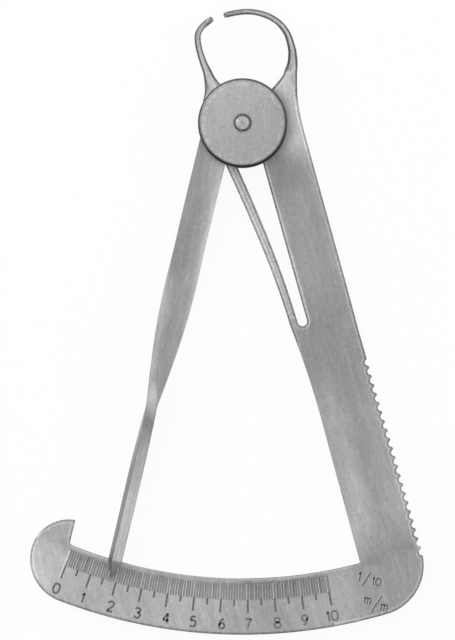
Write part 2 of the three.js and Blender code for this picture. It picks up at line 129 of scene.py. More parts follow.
# Jaws: widths at the root, of the rod and at the tip, the power with which the root's flare falls, and the
# centre line's places, along and beside the line from root to tip as shares of its length
TIP_DOME = 0.22
TIP_CLEARANCE = 0.04
DOME_SHARES = np.array((0.3, 0.55, 0.78, 0.93, 1))
ROD_THICKNESS = 1.21
RIGHT_JAW_OVERRUN = 0.6
RIGHT_JAW_WIDTHS = (JAW_ROOT_WIDTH, 1.12, 0.92)
RIGHT_FLARE_POWER = 6
RIGHT_JAW_SHARES = (
    (0.043, -0.0826), (0.1, -0.1534), (0.1648, -0.2176), (0.3102, -0.3103), (0.4549, -0.344),
    (0.5801, -0.3318), (0.6943, -0.2909), (0.7931, -0.2318), (0.8775, -0.1557), (0.951, -0.0667),
)
LEFT_ROOT_RADIUS = 6.27
LEFT_ROOT_ANGLE = 147.5
LEFT_JAW_WIDTHS = (4.6, 1.14, 1.0)
LEFT_FLARE_POWER = 6.5
LEFT_JAW_SHARES = (
    (0.1041, 0.0342), (0.2081, 0.0684), (0.3118, 0.0988), (0.416, 0.1382), (0.52, 0.1691),
    (0.6235, 0.1932), (0.7523, 0.2052), (0.8285, 0.1855), (0.903, 0.1285),
)

# Engraved scale: the ends of its lines and the feet of its figures by radius, how far each figure is off its
# line, and the unit with its lean
FINE_START = 75.8
FINE_END = 78.4
HALF_END = 79.4
WHOLE_END = 80.6
FIGURE_FOOT = 83.2
ENGRAVED_DEPTH = 0.05
UNIT_LEAN = -11
FIGURE_SHIFTS = (0, 0.05, 0.25, 0.2, 0.38, 0.25, 0.38, 0.1, 0.2, 0, -0.14)
UNIT_FIGURES = (("1", (19.1, -75.4), 1.6), ("/", (20.2, -75.9), 2.0), ("10", (21.9, -76.0), 1.25),
                ("m", (20.45, -79.1), 1.6), ("/", (21.8, -80.2), 2.27), ("m", (23.2, -80.2), 1.6))

# Leaf spring
LEAF_BENDS = ((8.43, -33.0), (5.349, -22.508), (0.579, -12.201))
LEAF_TIP_RADIUS = 4.56
LEAF_TIP_ANGLE = 208.8
LEAF_ROOT_WIDTH = 1.32
LEAF_TIP_WIDTH = 1.7
LEAF_STUB = 0.03

# Pointer lever, in its own frame with the arm straight down. Twist and thickness are by the distance down the
# arm, which starts, narrows and rises in front of the scale at set distances and leans out over a run
ARM_OFFSET = 3.72
NEEDLE_OFFSET = 3.98
ARM_WIDTH = 5.0
NEEDLE_DEPTH = 2.9
NEEDLE_LENGTH = 9.7
POINT_LENGTH = 2.9
ARM_TWIST = ((-20, 0), (0, 0), (22, 0), (26, 9), (30.8, 25), (37.7, 46.5), (43.8, 70), (47.6, 86.5), (52, 96.5),
             (56.5, 101.5), (70, 101.5), (90, 101.5))
ARM_THICKNESS = ((0, 1.25), (22, 1.25), (30, 1.42), (43, 1.42), (47.5, 1.78), (52, 1.8), (56, 1.8), (90, 1.8))
POINT_SIZE = 0.2
ARM_START, NARROW_START, RISE_START = 2, 45.5, 54
OFFSET_RUN = 56.5

# Pivot: the hole in the plates and discs, the discs with the recess for the rivet's head, rivet, washer and stud
HOLE_RADIUS = 1.05
HOLE_ROUND = 0.05
DISC_RADIUS = 7.35
RECESS_RADIUS = 1.37
FRONT_RECESS, BACK_RECESS = 0.6, 0.4
CORNER_ROUND = 0.06
RIVET_RADIUS, SHANK_RADIUS = 1.25, 1.0
HEAD_RISE = 0.12
WASHER_RADIUS = 3.1
STUD_RADIUS, STUD_NECK = 0.75, 0.5
STUD_SHARE, STUD_GAP = 0.95, 0.85

# Painted light and shade, as a share of the metal's colour, in ramps of (place, lightness): along the pointer arm
# on its right edge, at the right end, in the middle and at the left end of its front, on its left edge, on the
# corner behind that and on its back, with the places round the arm (see loft) that these ramps stand at, then
# on the frame beside the disc, darker next to it as painted shadow, and along its arm by radius, along the scale
# by bearing, and on the left side, the crown and the right side of each jaw by the share of the way along
ARM_TONES = (
    ((0, 1.2), (14, 2.4), (24, 2.3), (38, 0.6), (74.6, 0.7), (75.2, 0.9)),
    ((0, 1), (14, 1.5), (24, 1.7), (38, 1.5), (47.5, 0.6), (51, 0.75), (74.6, 0.6), (75.2, 0.9)),
    ((0, 0.85), (24, 0.8), (38, 1.1), (48, 0.6), (55, 0.7), (74.6, 0.6), (75.2, 0.9)),
    ((0, 0.8), (24, 0.65), (31, 1.2), (44, 1.1), (47.6, 0.7), (51.5, 1.6), (61, 0.7), (74, 0.6), (75.2, 1)),
    ((24, 0.9), (31, 1.4), (44, 0.85), (47.6, 1.6), (51.5, 0.8), (68, 1.4), (74.6, 1.35), (75.2, 1)),
    ((31, 0.9), (46, 0.7), (51.5, 0.9), (55.6, 0.55), (61, 0.7), (73, 0.3), (74.6, 0.2), (75.2, 0.8)),
    ((31, 0.9), (44, 0.7), (51.5, 0.95), (60, 0.6), (73, 0.6), (74.6, 0.25), (75.2, 0.9)),
)
TONE_SIDES = (-0.1, 0.3, 0.7, 1, 1.3, 1.7, 2.3, 2.5, 2.8, 3.3, 3.7, 4.4)
TONE_RAMPS = (0, 0, 1, 2, 3, 4, 4, 5, 6, 6, 0, 0)
WEB_TONES = ((7, 0.85), (7.7, 1.05), (8.4, 1.36), (9.2, 1.45), (12, 1.3), (20, 1.05))
FRAME_TONES = ((0, 1), (9, 0.74), (12.5, 0.7), (16, 0.87), (28, 0.87), (36, 0.8), (46, 0.81), (58, 0.85), (68, 0.97),
               (90, 0.94))
SCALE_TONES = ((-30, 1.45), (-24, 1.3), (-22, 1.17), (-19, 1.17), (-14.7, 1.18), (-8, 1.2), (-3, 1.15), (1, 1.03),
               (5, 0.99), (8, 1.02), (11, 1.05), (13, 1.03), (15, 0.9), (20, 0.88))
RIGHT_JAW_TONES = (
    ((0, 1), (0.01, 0.6), (0.07, 0.45), (0.43, 1.2), (0.5, 2.4), (0.62, 1.7), (0.7, 2.4), (0.8, 2), (0.9, 3.4),
     (1, 1.6)),
    ((0, 1), (0.36, 1), (0.43, 0.75), (0.8, 0.6), (1, 0.75)),
    ((0, 1), (0.07, 0.9), (0.3, 0.95), (0.6, 1.35), (0.9, 2.2), (1, 1.2)),
)
LEFT_JAW_TONES = (
    ((0, 1.35), (0.4, 1.25), (0.62, 0.95), (0.85, 1.6), (0.93, 1.6), (1, 1)),
    ((0, 1.5), (0.12, 1.45), (0.3, 1.05), (0.83, 0.4), (0.92, 0.4), (1, 0.6)),
    ((0, 2), (0.12, 1.9), (0.3, 1.1), (0.55, 1.8), (0.72, 2.2), (0.83, 3.6), (0.92, 1.5), (1, 1.2)),
)

# Strokes of the figures in a box 0.66 wide and 1 high: each is a smooth line through its points
FIGURES = {
    "0": [[(0.33, 1), (0.08, 0.84), (0.02, 0.5), (0.08, 0.16), (0.33, 0), (0.58, 0.16), (0.64, 0.5),
           (0.58, 0.84), (0.33, 1)]],
    "1": [[(0.02, 0.76), (0.2, 0.98)], [(0.2, 1), (0.18, 0)]],
    "2": [[(0.04, 0.76), (0.16, 0.95), (0.36, 1), (0.56, 0.9), (0.58, 0.68), (0.42, 0.42), (0.2, 0.18),
           (0.04, 0.02)], [(0.02, 0), (0.62, 0)]],
    "3": [[(0.06, 0.84), (0.2, 0.98), (0.4, 0.99), (0.56, 0.86), (0.53, 0.64), (0.3, 0.54)],
          [(0.3, 0.54), (0.54, 0.44), (0.6, 0.24), (0.48, 0.06), (0.26, 0), (0.04, 0.14)]],
    "4": [[(0.46, 0), (0.46, 1)], [(0.46, 1), (0.02, 0.3)], [(0.02, 0.3), (0.64, 0.3)]],
    "5": [[(0.56, 1), (0.14, 1)], [(0.14, 1), (0.1, 0.56)],
          [(0.1, 0.56), (0.3, 0.64), (0.52, 0.54), (0.6, 0.32), (0.48, 0.08), (0.24, 0), (0.04, 0.12)]],
    "6": [[(0.52, 0.98), (0.24, 0.82), (0.07, 0.5), (0.08, 0.18), (0.3, 0), (0.54, 0.12), (0.58, 0.36),
           (0.4, 0.56), (0.16, 0.5), (0.07, 0.3)]],
    "7": [[(0.04, 1), (0.62, 1)], [(0.62, 1), (0.4, 0.56), (0.24, 0)]],
    "8": [[(0.33, 0.54), (0.1, 0.68), (0.12, 0.92), (0.33, 1), (0.54, 0.92), (0.56, 0.68), (0.33, 0.54)],
          [(0.33, 0.54), (0.06, 0.4), (0.06, 0.12), (0.33, 0), (0.6, 0.12), (0.6, 0.4), (0.33, 0.54)]],
    "9": [[(0.14, 0.02), (0.42, 0.18), (0.59, 0.5), (0.58, 0.82), (0.36, 1), (0.12, 0.88), (0.08, 0.64),
           (0.26, 0.44), (0.5, 0.5), (0.59, 0.7)]],
    "/": [[(0.08, -0.14), (0.58, 1.12)]],
    "m": [[(0.02, 0), (0.02, 0.66)], [(0.02, 0.5), (0.16, 0.66), (0.31, 0.5), (0.31, 0)],
          [(0.31, 0.5), (0.46, 0.66), (0.62, 0.5), (0.62, 0)]],
}
FIGURE_WIDTH, ONE_WIDTH, FIGURE_GAP = 0.66, 0.3, 0.16

# Studio, in metres
TABLE_HALF = 3.0
LAMP_PLACE, LAMP_AIM = (-0.38, 0.34, 0.4), (0, -0.03, 0)
LAMP_SIZE = 0.5
CAMERA_AWAY = 1.4
PICTURE_MIDDLE = (-2.484 * MM, -32.36 * MM)


class CaliperEdges(PropertyGroup):
    """Rounding and facets of the pieces."""

    plate_round: FloatProperty(name="Plate edge", description="Rounding along the edges of the two plates",
                               default=0.12 * MM, min=0.02 * MM, unit="LENGTH", precision=5)
    disc_round: FloatProperty(name="Disc rim", description="Rounding of the rims of the discs",
                              default=0.5 * MM, min=0.05 * MM, unit="LENGTH", precision=5)
    round_steps: IntProperty(name="Rounding steps", description="Facets across the rounding of an edge",
                             default=5, min=2, max=12)
    turned_steps: IntProperty(name="Turned steps", description="Facets round a turned piece",
                              default=160, min=32, max=512)


class CaliperMarks(PropertyGroup):
    """The engraved scale."""

    line_width: FloatProperty(name="Line width", description="Width of the lines at the half millimetres",
                              default=0.32 * MM, unit="LENGTH", precision=5)
    fine_width: FloatProperty(name="Fine line width", description="Width of the lines at the tenths",
                              default=0.19 * MM, unit="LENGTH", precision=5)
    stroke_width: FloatProperty(name="Stroke width", description="Width of the strokes of the figures",
                                default=0.36 * MM, unit="LENGTH", precision=5)
    figure_height: FloatProperty(name="Figure height", description="Height of the figures along the scale",
                                 default=1.64 * MM, unit="LENGTH", precision=5)
    fill_colour: FloatVectorProperty(name="Fill colour", description="Dark fill of the engraved lines",
                                     subtype="COLOR", size=3, default=(0.08, 0.08, 0.08))


class CaliperFinish(PropertyGroup):
    """The steel of the pieces."""

    plate_colour: FloatVectorProperty(name="Plate steel", description="Colour of the brushed plates",
                                      subtype="COLOR", size=3, default=(0.385, 0.385, 0.385))
    disc_colour: FloatVectorProperty(name="Disc steel", description="Colour of the faced discs",
                                     subtype="COLOR", size=3, default=(0.437, 0.437, 0.437))
    pivot_colour: FloatVectorProperty(name="Pivot steel", description="Colour of the rivet, washer and stud",
                                      subtype="COLOR", size=3, default=(0.445, 0.445, 0.44))
    roughness: FloatProperty(name="Roughness", description="Mean roughness of the brushed faces",
                             default=0.46, min=0, max=1, subtype="FACTOR")
    brushing: FloatProperty(name="Brushing", description="Strength of the streaks along the pieces",
                            default=1, min=0, max=3)


class CaliperStudio(PropertyGroup):
    """Table, light and camera."""

    floor_colour: FloatVectorProperty(name="Table colour", description="Colour of the table",
                                      subtype="COLOR", size=3, default=(0.9, 0.9, 0.9))
    sky_level: FloatProperty(name="Sky", description="Strength of the soft light from all round",
                             default=1, min=0)
    lamp_power: FloatProperty(name="Lamp", description="Power of the soft lamp at the upper left",
                              default=1.32, min=0, unit="POWER")
    picture_height: FloatProperty(name="Picture height", description="Length on the table from the bottom "
                                  "of the picture to its top", default=105.3 * MM, unit="LENGTH")


# Plane geometry: arrays of points in millimetres, one row each

def at_bearing(radius, bearing):
    """Points at a distance from the pivot axis in the direction of a bearing in degrees."""
    turn = np.radians(bearing)
    return np.stack((radius * np.sin(turn), -radius * np.cos(turn)), -1)


def at_angle(radius, degrees):
    """Points at a distance from the pivot axis and an angle counted from +X towards +Y."""
    turn = np.radians(degrees)
    return np.stack((radius * np.cos(turn), radius * np.sin(turn)), -1)


def angle_of(point):
    """The angle of one point, counted from +X towards +Y."""
    return math.degrees(math.atan2(point[1], point[0]))


def turned_by(points, degrees):
    """The points turned about the pivot axis: x cos a - y sin a, x sin a + y cos a."""
    turn = math.radians(degrees)
    x, y = points[..., 0], points[..., 1]
    return np.stack((x * math.cos(turn) - y * math.sin(turn), x * math.sin(turn) + y * math.cos(turn)), -1)


EDGE_DOWN = at_bearing(1, ARM_EDGE_BEARING)
EDGE_ACROSS = at_bearing(1, ARM_EDGE_BEARING + 90)


def beside_edge(distance, offset):
    """Distance down along the arm's outer edge, plus offset from the pivot axis square to that edge."""
    return np.multiply.outer(distance, EDGE_DOWN) + np.multiply.outer(offset, EDGE_ACROSS)


def arc(centre, radius, start, end, spacing=0.3):
    """Points on a circle from one angle to another, in degrees, about spacing apart."""
    count = max(4, int(abs(math.radians(end - start)) * radius / spacing))
    return np.asarray(centre) + at_angle(radius, np.linspace(start, end, count + 1))


def quadratic(start, corner, end, count=10):
    """(1 - t)^2 start + 2 t (1 - t) corner + t^2 end."""
    t = np.linspace(0, 1, count + 1)[:, None]
    return (1 - t) ** 2 * start + 2 * t * (1 - t) * np.asarray(corner) + t**2 * end


def fillet(before, corner, after, size):
    """A small rounding between two straight runs that meet in a corner."""
    corner = np.asarray(corner, float)
    start = corner + size * unit(np.asarray(before) - corner)
    end = corner + size * unit(np.asarray(after) - corner)
    return quadratic(start, corner, end, 6)


def unit(vectors):
    """The vectors divided by their lengths."""
    return vectors / np.linalg.norm(vectors, axis=-1, keepdims=True)


def leftward(headings):
    """The headings turned a quarter to the left: (-y, x)."""
    return np.stack((-headings[..., 1], headings[..., 0]), -1)


def polar(points):
    """The points' distances from the pivot axis and their bearings."""
    return np.hypot(points[:, 0], points[:, 1]), np.degrees(np.arctan2(points[:, 0], -points[:, 1]))


def ridge(value, middle, width):
    """A smooth ridge: e to the power of minus the square of (value - middle) / width."""
    return np.exp(-(((value - middle) / width) ** 2))


def ramp(value, stops):
    """Between (place, value) stops on straight lines."""
    return np.interp(value, *np.transpose(stops))


def smoothstep(value, low, high):
    """3 t^2 - 2 t^3 of the share t of the way from low to high."""
    t = np.clip((value - low) / (high - low), 0, 1)
    return t * t * (3 - 2 * t)


def lerp(first, second, share):
    """first + (second - first) share."""
    return first + (second - first) * share


def dense(points, spacing=0.5):
    """The closed outline with its long runs cut into equal steps of at most the spacing."""
    runs = np.roll(points, -1, 0) - points
    counts = np.maximum(1, np.ceil(np.linalg.norm(runs, axis=1) / spacing).astype(int))
    owner = np.repeat(np.arange(len(points)), counts)
    step = np.arange(counts.sum()) - np.repeat(np.cumsum(counts) - counts, counts)
    return points[owner] + runs[owner] * (step / counts[owner])[:, None], owner, step


def through(places, count):
    """A uniform Catmull-Rom curve through the places, at evenly spaced lengths: points and unit tangents."""
    places = np.asarray(places, float)
    padded = np.vstack((places[:1], places, places[-1:]))
    t = np.linspace(0, len(places) - 1, 160 * len(places))
    span = np.minimum(t.astype(int), len(places) - 2)
    t = (t - span)[:, None]
    before, first, second, after = (padded[span + k] for k in range(4))
    pull, push = (second - before) / 2, (after - first) / 2
    line = ((2 * first - 2 * second + pull + push) * t**3
            + (3 * second - 3 * first - 2 * pull - push) * t**2 + pull * t + first)
    length = np.concatenate(([0], np.cumsum(np.linalg.norm(np.diff(line, axis=0), axis=1))))
    goal = np.linspace(0, length[-1], count) if np.isscalar(count) else np.asarray(count) * length[-1]
    points = np.stack([np.interp(goal, length, line[:, k]) for k in range(line.shape[1])], -1)
    heading = unit(np.gradient(line, axis=0))
    tangents = np.stack([np.interp(goal, length, heading[:, k]) for k in range(line.shape[1])], -1)
    return points, unit(tangents), length[-1]


def along_table(table, distance):
    """Values at distances, on cubic curves through the pairs of a table whose slopes at a pair are the mean of
    those on both sides of it."""
    place, value = np.array(table, float).T
    slope = np.gradient(value, place)
    start = np.clip(np.searchsorted(place, distance) - 1, 0, len(place) - 2)
    run = place[start + 1] - place[start]
    t = (distance - place[start]) / run
    return ((2 * t**3 - 3 * t**2 + 1) * value[start] + (t**3 - 2 * t**2 + t) * run * slope[start]
            + (3 * t**2 - 2 * t**3) * value[start + 1] + (t**3 - t**2) * run * slope[start + 1])


# Plates: closed outlines, anticlockwise round metal and clockwise round a hole

class Loop:
    """An outline with, at each point, the way in to the flat face, the level and the half thickness of the
    metal and the height of its rounding. The way in is along the mitre, (left of both edges) / (1 + the
    cosine between them), where none is given. Cut marks edges where the metal goes on in another piece."""

    def __init__(self, points, middle, half, rounding, inward=None, drop=None, cut=None):
        self.points = points
        self.cut = np.zeros(len(points), bool) if cut is None else cut
        behind, ahead = unit(points - np.roll(points, 1, 0)), unit(np.roll(points, -1, 0) - points)
        self.mitre = leftward(behind + ahead) / np.maximum(1 + (behind * ahead).sum(1), 0.15)[:, None]
        plain = rounding * self.mitre
        self.inward = plain if inward is None else np.where(np.isnan(inward), plain, inward)
        ones = np.ones(len(points))
        self.middle, self.half = middle * ones, half * ones
        self.drop = (rounding if drop is None else drop) * ones

    def rings(self, steps):
        """Rings from the lower flat face over the wall to the upper one. Ring k is in by 1 - cos a of the
        way and lower than the face by drop (1 - sin a). Returns their points, how far in they are, and how
        much they belong to the wall, which is cos a."""
        angle = np.linspace(0, math.pi / 2, steps + 1)
        share = np.concatenate((1 - np.cos(angle[::-1]), 1 - np.cos(angle)))[:, None]
        fall = np.concatenate((1 - np.sin(angle[::-1]), 1 - np.sin(angle)))[:, None]
        side = np.repeat((-1.0, 1.0), steps + 1)[:, None]
        plan = self.points + share[..., None] * self.inward
        height = self.middle + side * (self.half - self.drop * fall)
        rim = share * np.linalg.norm(self.inward, axis=1)
        within = self.cut & np.roll(self.cut, 1)
        wall = np.broadcast_to(1 - share, rim.shape) * ~within
        return np.concatenate((plan, height[..., None]), -1), np.where(within, 0.6, rim), wall


def crossings(points, loops):
    """How many edges of the loops a ray to the right of each point meets, odd inside the metal."""
    count = np.zeros(len(points), int)
    for loop in loops:
        first, second = loop, np.roll(loop, -1, 0)
        above = (first[:, 1] > points[:, 1:2]) != (second[:, 1] > points[:, 1:2])
        rise = second[:, 1] - first[:, 1]
        rise = np.where(rise == 0, 1, rise)
        at = first[:, 0] + (points[:, 1:2] - first[:, 1]) * (second[:, 0] - first[:, 0]) / rise
        count += (above & (at > points[:, 0:1])).sum(1)
    return count


def clearance(points, loops, left_out=None):
    """Distance of each point from the nearest edge of the loops that isn't left out, and which edge that is."""
    first = np.concatenate(loops)
    run = np.concatenate([np.roll(loop, -1, 0) for loop in loops]) - first
    best, edge = np.empty(len(points)), np.empty(len(points), int)
    for part in np.array_split(np.arange(len(points)), max(1, len(points) // 1500)):
        away = points[part, None] - first
        share = np.clip((away * run).sum(-1) / np.maximum((run * run).sum(-1), 1e-12), 0, 1)
        distance = np.linalg.norm(away - share[..., None] * run, axis=-1)
        if left_out is not None:
            distance[:, left_out] = np.inf
        edge[part] = distance.argmin(1)
        best[part] = distance.min(1)
    return best, edge


def skin(rows, columns):
    """Quads over a grid whose columns run round: each row joined to the next."""
    row, column = np.meshgrid(np.arange(rows - 1), np.arange(columns), indexing="ij")
    after = (column + 1) % columns
    start, end = row * columns, (row + 1) * columns
    return np.stack((start + column, start + after, end + after, end + column), -1).reshape(-1, 4)


def sheet_metal(loops, steps, rings=(0.2, 0.34, 0.6, 1.1), spacing=1.8):
    """A plate between its loops: rounded walls from their rings, and two flat faces of triangles through the
    inmost rings, points at set distances from the edge and a hexagonal grid. Returns points, faces, each
    point's distance from the edge of the metal, seen from above, and its share in the wall."""
    grids = [loop.rings(steps) for loop in loops]
    plans = [grid[0][-1, :, :2] for grid in grids]
    walls = [loop.points for loop in loops]
    tries = [loop.points + distance * loop.mitre for distance in rings for loop in loops]
    wanted = [np.full(len(loop.points), distance) for distance in rings for loop in loops]
    low, high = walls[0].min(0), walls[0].max(0)
    columns, rows = (np.arange(low[k], high[k], spacing * (1, 0.866)[k]) for k in (0, 1))
    x, y = np.meshgrid(columns, rows)
    x = x + (np.arange(len(rows)) % 2)[:, None] * spacing / 2
    tries.append(np.stack((x.ravel(), y.ravel()), -1))
    wanted.append(np.full(x.size, rings[-1] + 0.4 * spacing))
    tries, wanted = np.concatenate(tries), np.concatenate(wanted)
    fits = crossings(tries, plans) % 2 == 1
    tries, wanted = tries[fits], wanted[fits]
    apart, edge = clearance(tries, walls, np.concatenate([loop.cut for loop in loops]))
    fits = (apart > 0.97 * wanted) & (clearance(tries, plans)[0] > 0.05)
    inner, apart, edge = tries[fits], apart[fits], edge[fits]

    flat = np.concatenate(plans + [inner])
    starts = np.cumsum([0] + [len(plan) for plan in plans])
    borders = [np.stack((start + np.arange(len(plan)), start + (np.arange(len(plan)) + 1) % len(plan)), -1)
               for start, plan in zip(starts, plans)]
    made = delaunay_2d_cdt(flat.tolist(), np.concatenate(borders).tolist(), [], 0, 1e-7, False)
    if len(made[0]) != len(flat):
        raise RuntimeError("An outline crosses itself, or two of its points are in one place.")
    triangles = np.array(made[2])
    middles = flat[triangles].mean(1)
    triangles = triangles[crossings(middles, plans) % 2 == 1]

    points, faces, rim, wall, upper, lower, base = [], [], [], [], [], [], 0
    for grid, depth, upright in grids:
        rows, columns = grid.shape[:2]
        points.append(grid.reshape(-1, 3))
        rim.append(depth.ravel())
        wall.append(upright.ravel())
        faces.append(base + skin(rows, columns))
        lower.append(base + np.arange(columns))
        upper.append(base + (rows - 1) * columns + np.arange(columns))
        base += rows * columns
    middle = np.concatenate([loop.middle for loop in loops])[edge]
    half = np.concatenate([loop.half for loop in loops])[edge]
    for side, kept in ((1, upper), (-1, lower)):
        points.append(np.column_stack((inner, middle + side * half)))
        rim.append(apart)
        wall.append(np.zeros(len(inner)))
        kept.append(base + np.arange(len(inner)))
        base += len(inner)
    faces = np.concatenate(faces).tolist()
    faces += np.concatenate(upper)[triangles].tolist() + np.concatenate(lower)[triangles[:, ::-1]].tolist()
    return np.concatenate(points), faces, np.concatenate(rim), np.concatenate(wall)


# Meshes

def put_in_mesh(name, points, faces, body, node, material, rim=9.0, wall=0.0, tone=1.0):
    """Puts points in millimetres and faces into a mesh in metres at the origin, with smooth faces and sharp
    edges, and hands it to its body in place of its CAD node. Each point keeps its distance from the edge of
    the metal, its share in the wall and its tone: painted light and shade on the steel, the paleness of the
    fill on the scale's lines."""
    mesh = bpy.data.meshes.new(name)
    mesh.from_pydata((np.asarray(points) * MM).tolist(), [], faces)
    if mesh.validate():
        raise RuntimeError(f"{name} has faces that are no faces")
    for attribute, values in (("rim", rim), ("wall", wall), ("tone", tone)):
        layer = mesh.attributes.new(attribute, "FLOAT", "POINT")
        layer.data.foreach_set("value", (values + np.zeros(len(points))).astype(np.float32))
    mesh.polygons.foreach_set("use_smooth", np.ones(len(mesh.polygons), bool))
    mesh.set_sharp_from_angle(angle=math.radians(SHARP_ANGLE))
    mesh.materials.append(material)
    piece = bpy.data.objects.new(name, mesh)
    bpy.context.scene.collection.objects.link(piece)
    if body:
        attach(piece, body)
    if node:
        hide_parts(node)
    return piece


def joined(*parts):
    """Several (points, faces, value...) as one, with the faces' numbers moved on."""
    faces, base = [], 0
    for part in parts:
        faces += [[base + corner for corner in face] for face in part[1]]
        base += len(part[0])
    return (np.concatenate([part[0] for part in parts]), faces,
            *[np.concatenate([part[k] for part in parts]) for k in range(2, len(parts[0]))])


def turned(profile, steps, centre=(0, 0)):
    """A turned piece about an upright axis from (radius, height) pairs, anticlockwise in a picture with the
    radius to the right: radius cos a, radius sin a, height, closed both ways round. Points on the axis run
    together in a pole. Returns points, faces and each point's distance from the rim and share in the wall,
    which is the height's part of the profile's heading."""
    profile = np.asarray(profile, float)
    angle = np.linspace(0, 2 * math.pi, steps, endpoint=False)
    grid = np.stack((centre[0] + profile[:, :1] * np.cos(angle), centre[1] + profile[:, :1] * np.sin(angle),
                     np.broadcast_to(profile[:, 1:], (len(profile), steps))), -1)
    on_axis = profile[:, 0] == 0
    row, column = np.meshgrid(np.arange(len(profile)), np.arange(steps), indexing="ij")
    after, below = (column + 1) % steps, (row + 1) % len(profile)
    corners = np.stack((row * steps + column, row * steps + after, below * steps + after,
                        below * steps + column), -1)
    number = np.where(on_axis[:, None], np.arange(len(profile))[:, None] * steps,
                      np.arange(len(profile) * steps).reshape(-1, steps)).ravel()
    corners = number[corners]
    whole = ~(on_axis[row] | on_axis[below])
    up, down = on_axis[below] & ~on_axis[row], on_axis[row] & ~on_axis[below]
    faces = (corners[whole].tolist() + corners[up][:, [0, 1, 2]].tolist()
             + corners[down][:, [0, 2, 3]].tolist())
    used = np.unique(number)
    place = np.zeros(number.size, int)
    place[used] = np.arange(len(used))
    faces = [[int(place[corner]) for corner in face] for face in faces]
    heading = unit(np.roll(profile, -1, 0) - np.roll(profile, 1, 0))
    row = used // steps
    return grid.reshape(-1, 3)[used], faces, profile[:, 0].max() - profile[row, 0], np.abs(heading[row, 1])


def loft(centres, across, out, width, depth, radius, steps=3):
    """A closed skin through rounded rectangles: width along across, depth along out. Each flat has points at
    0.1, 0.3 and 0.7 mm from its corners and in its middle. Returns points, faces, distance from the nearest
    corner, share in the rounding, and which side each point is on (0 right edge, 1 front, 2 left edge, 3
    back, and up to 0.3 more or less towards the corners)."""
    width, depth, radius = (np.broadcast_to(value, len(centres))[:, None] for value in (width, depth, radius))
    first, second, rim, side = [], [], [], []
    sign = ((1, 1), (-1, 1), (-1, -1), (1, -1))
    for corner in range(4):
        angle = math.pi / 2 * (corner + np.linspace(0, 1, steps + 1))
        first.append(sign[corner][0] * (width / 2 - radius) + radius * np.cos(angle))
        second.append(sign[corner][1] * (depth / 2 - radius) + radius * np.sin(angle))
        rim.append(np.zeros((len(centres), steps + 1)))
        side.append(np.broadcast_to(corner + np.linspace(0.3, 0.7, steps + 1), (len(centres), steps + 1)))
        half = (width if corner % 2 == 0 else depth) / 2 - radius
        share = np.maximum(1 - np.array((0.1, 0.3, 0.7)) / half, (0.8, 0.5, 0.25))
        share = np.concatenate((share, np.zeros((len(centres), 1)), -share[:, ::-1]), 1)
        ends = (width / 2 - radius, depth / 2 - radius)
        along = ((-1, 0), (0, -1), (1, 0), (0, 1))[corner]
        face = ((0, 1), (-1, 0), (0, -1), (1, 0))[corner]
        first.append(face[0] * width / 2 - along[0] * ends[0] * share)
        second.append(face[1] * depth / 2 - along[1] * ends[1] * share)
        rim.append(half * (1 - np.abs(share)))
        side.append(corner + 1 - 0.3 * share**3)
    first, second = np.concatenate(first, 1)[..., None], np.concatenate(second, 1)[..., None]
    grid = centres[:, None] + first * across[:, None] + second * out[:, None]
    rows, columns = grid.shape[:2]
    points = np.concatenate((grid.reshape(-1, 3), centres[:1], centres[-1:]))
    column = np.arange(columns)
    after, last = (column + 1) % columns, (rows - 1) * columns
    start = np.stack((np.full(columns, rows * columns), after, column), -1)
    end = np.stack((np.full(columns, rows * columns + 1), last + column, last + after), -1)
    faces = skin(rows, columns).tolist() + start.tolist() + end.tolist()
    rim, side = (np.append(np.concatenate(values, 1).ravel(), (0, 0)) for values in (rim, side))
    return points, faces, rim, 0.3 * (rim == 0), side


def strip(path, width, bottom, top):
    """A flat strip of a width along a path in the plane, between two levels, with square ends."""
    beside = leftward(unit(np.gradient(path, axis=0))) * width / 2
    right, left = path - beside, path + beside
    corners = [np.column_stack((line, np.full(len(path), level)))
               for line, level in ((right, bottom), (right, top), (left, top), (left, bottom))]
    points = np.stack(corners, 1).reshape(-1, 3)
    last = 4 * (len(path) - 1)
    faces = skin(len(path), 4)[:, ::-1].tolist() + [[0, 1, 2, 3], [last + 3, last + 2, last + 1, last]]
    return points, faces


# The caliper's own lines

def closed_turn():
    """Turn of the lever with the tips together: the zero's bearing plus the point's own bearing."""
    return ZERO_BEARING + math.degrees(math.asin(POINT_OFFSET / POINTER_RADIUS))


def reading_turn(reading):
    """Turn of the lever from there for a gap between the tips, which is a chord of their circle."""
    return 2 * np.degrees(np.arcsin(np.asarray(reading) / (2 * JAW_RADIUS)))


LEVER_TURN = closed_turn() + float(reading_turn(SHOWN_READING))
LAST_BEARING = ZERO_BEARING + float(reading_turn(10))


def leaf_line(share):
    """Cubic Bezier curve of the leaf spring from its root to its tip: points and unit tangents."""
    a, b, c = np.array(LEAF_BENDS)
    d = at_angle(LEAF_TIP_RADIUS, LEAF_TIP_ANGLE)
    t = np.asarray(share, float)[..., None]
    points = (1 - t) ** 3 * a + 3 * t * (1 - t) ** 2 * b + 3 * t**2 * (1 - t) * c + t**3 * d
    heading = (1 - t) ** 2 * (b - a) + 2 * t * (1 - t) * (c - b) + t**2 * (d - c)
    return points, unit(heading)


def leaf_edge(share, side, gap=0.0):
    """Right (1) or left (-1) edge of the leaf: half its width, plus a gap, square to its curve."""
    points, heading = leaf_line(share)
    half = lerp(LEAF_ROOT_WIDTH, LEAF_TIP_WIDTH, np.asarray(share, float)) / 2 + gap
    return points - side * half[..., None] * leftward(heading)


def jaw_places(root, tip, shares):
    """Places on a jaw's centre line, from shares along and beside the line from its root to its tip."""
    along = tip - root
    beside = np.array((-along[1], along[0]))
    shares = np.array(shares)
    return np.vstack((root, root + shares[:, :1] * along + shares[:, 1:] * beside, tip))


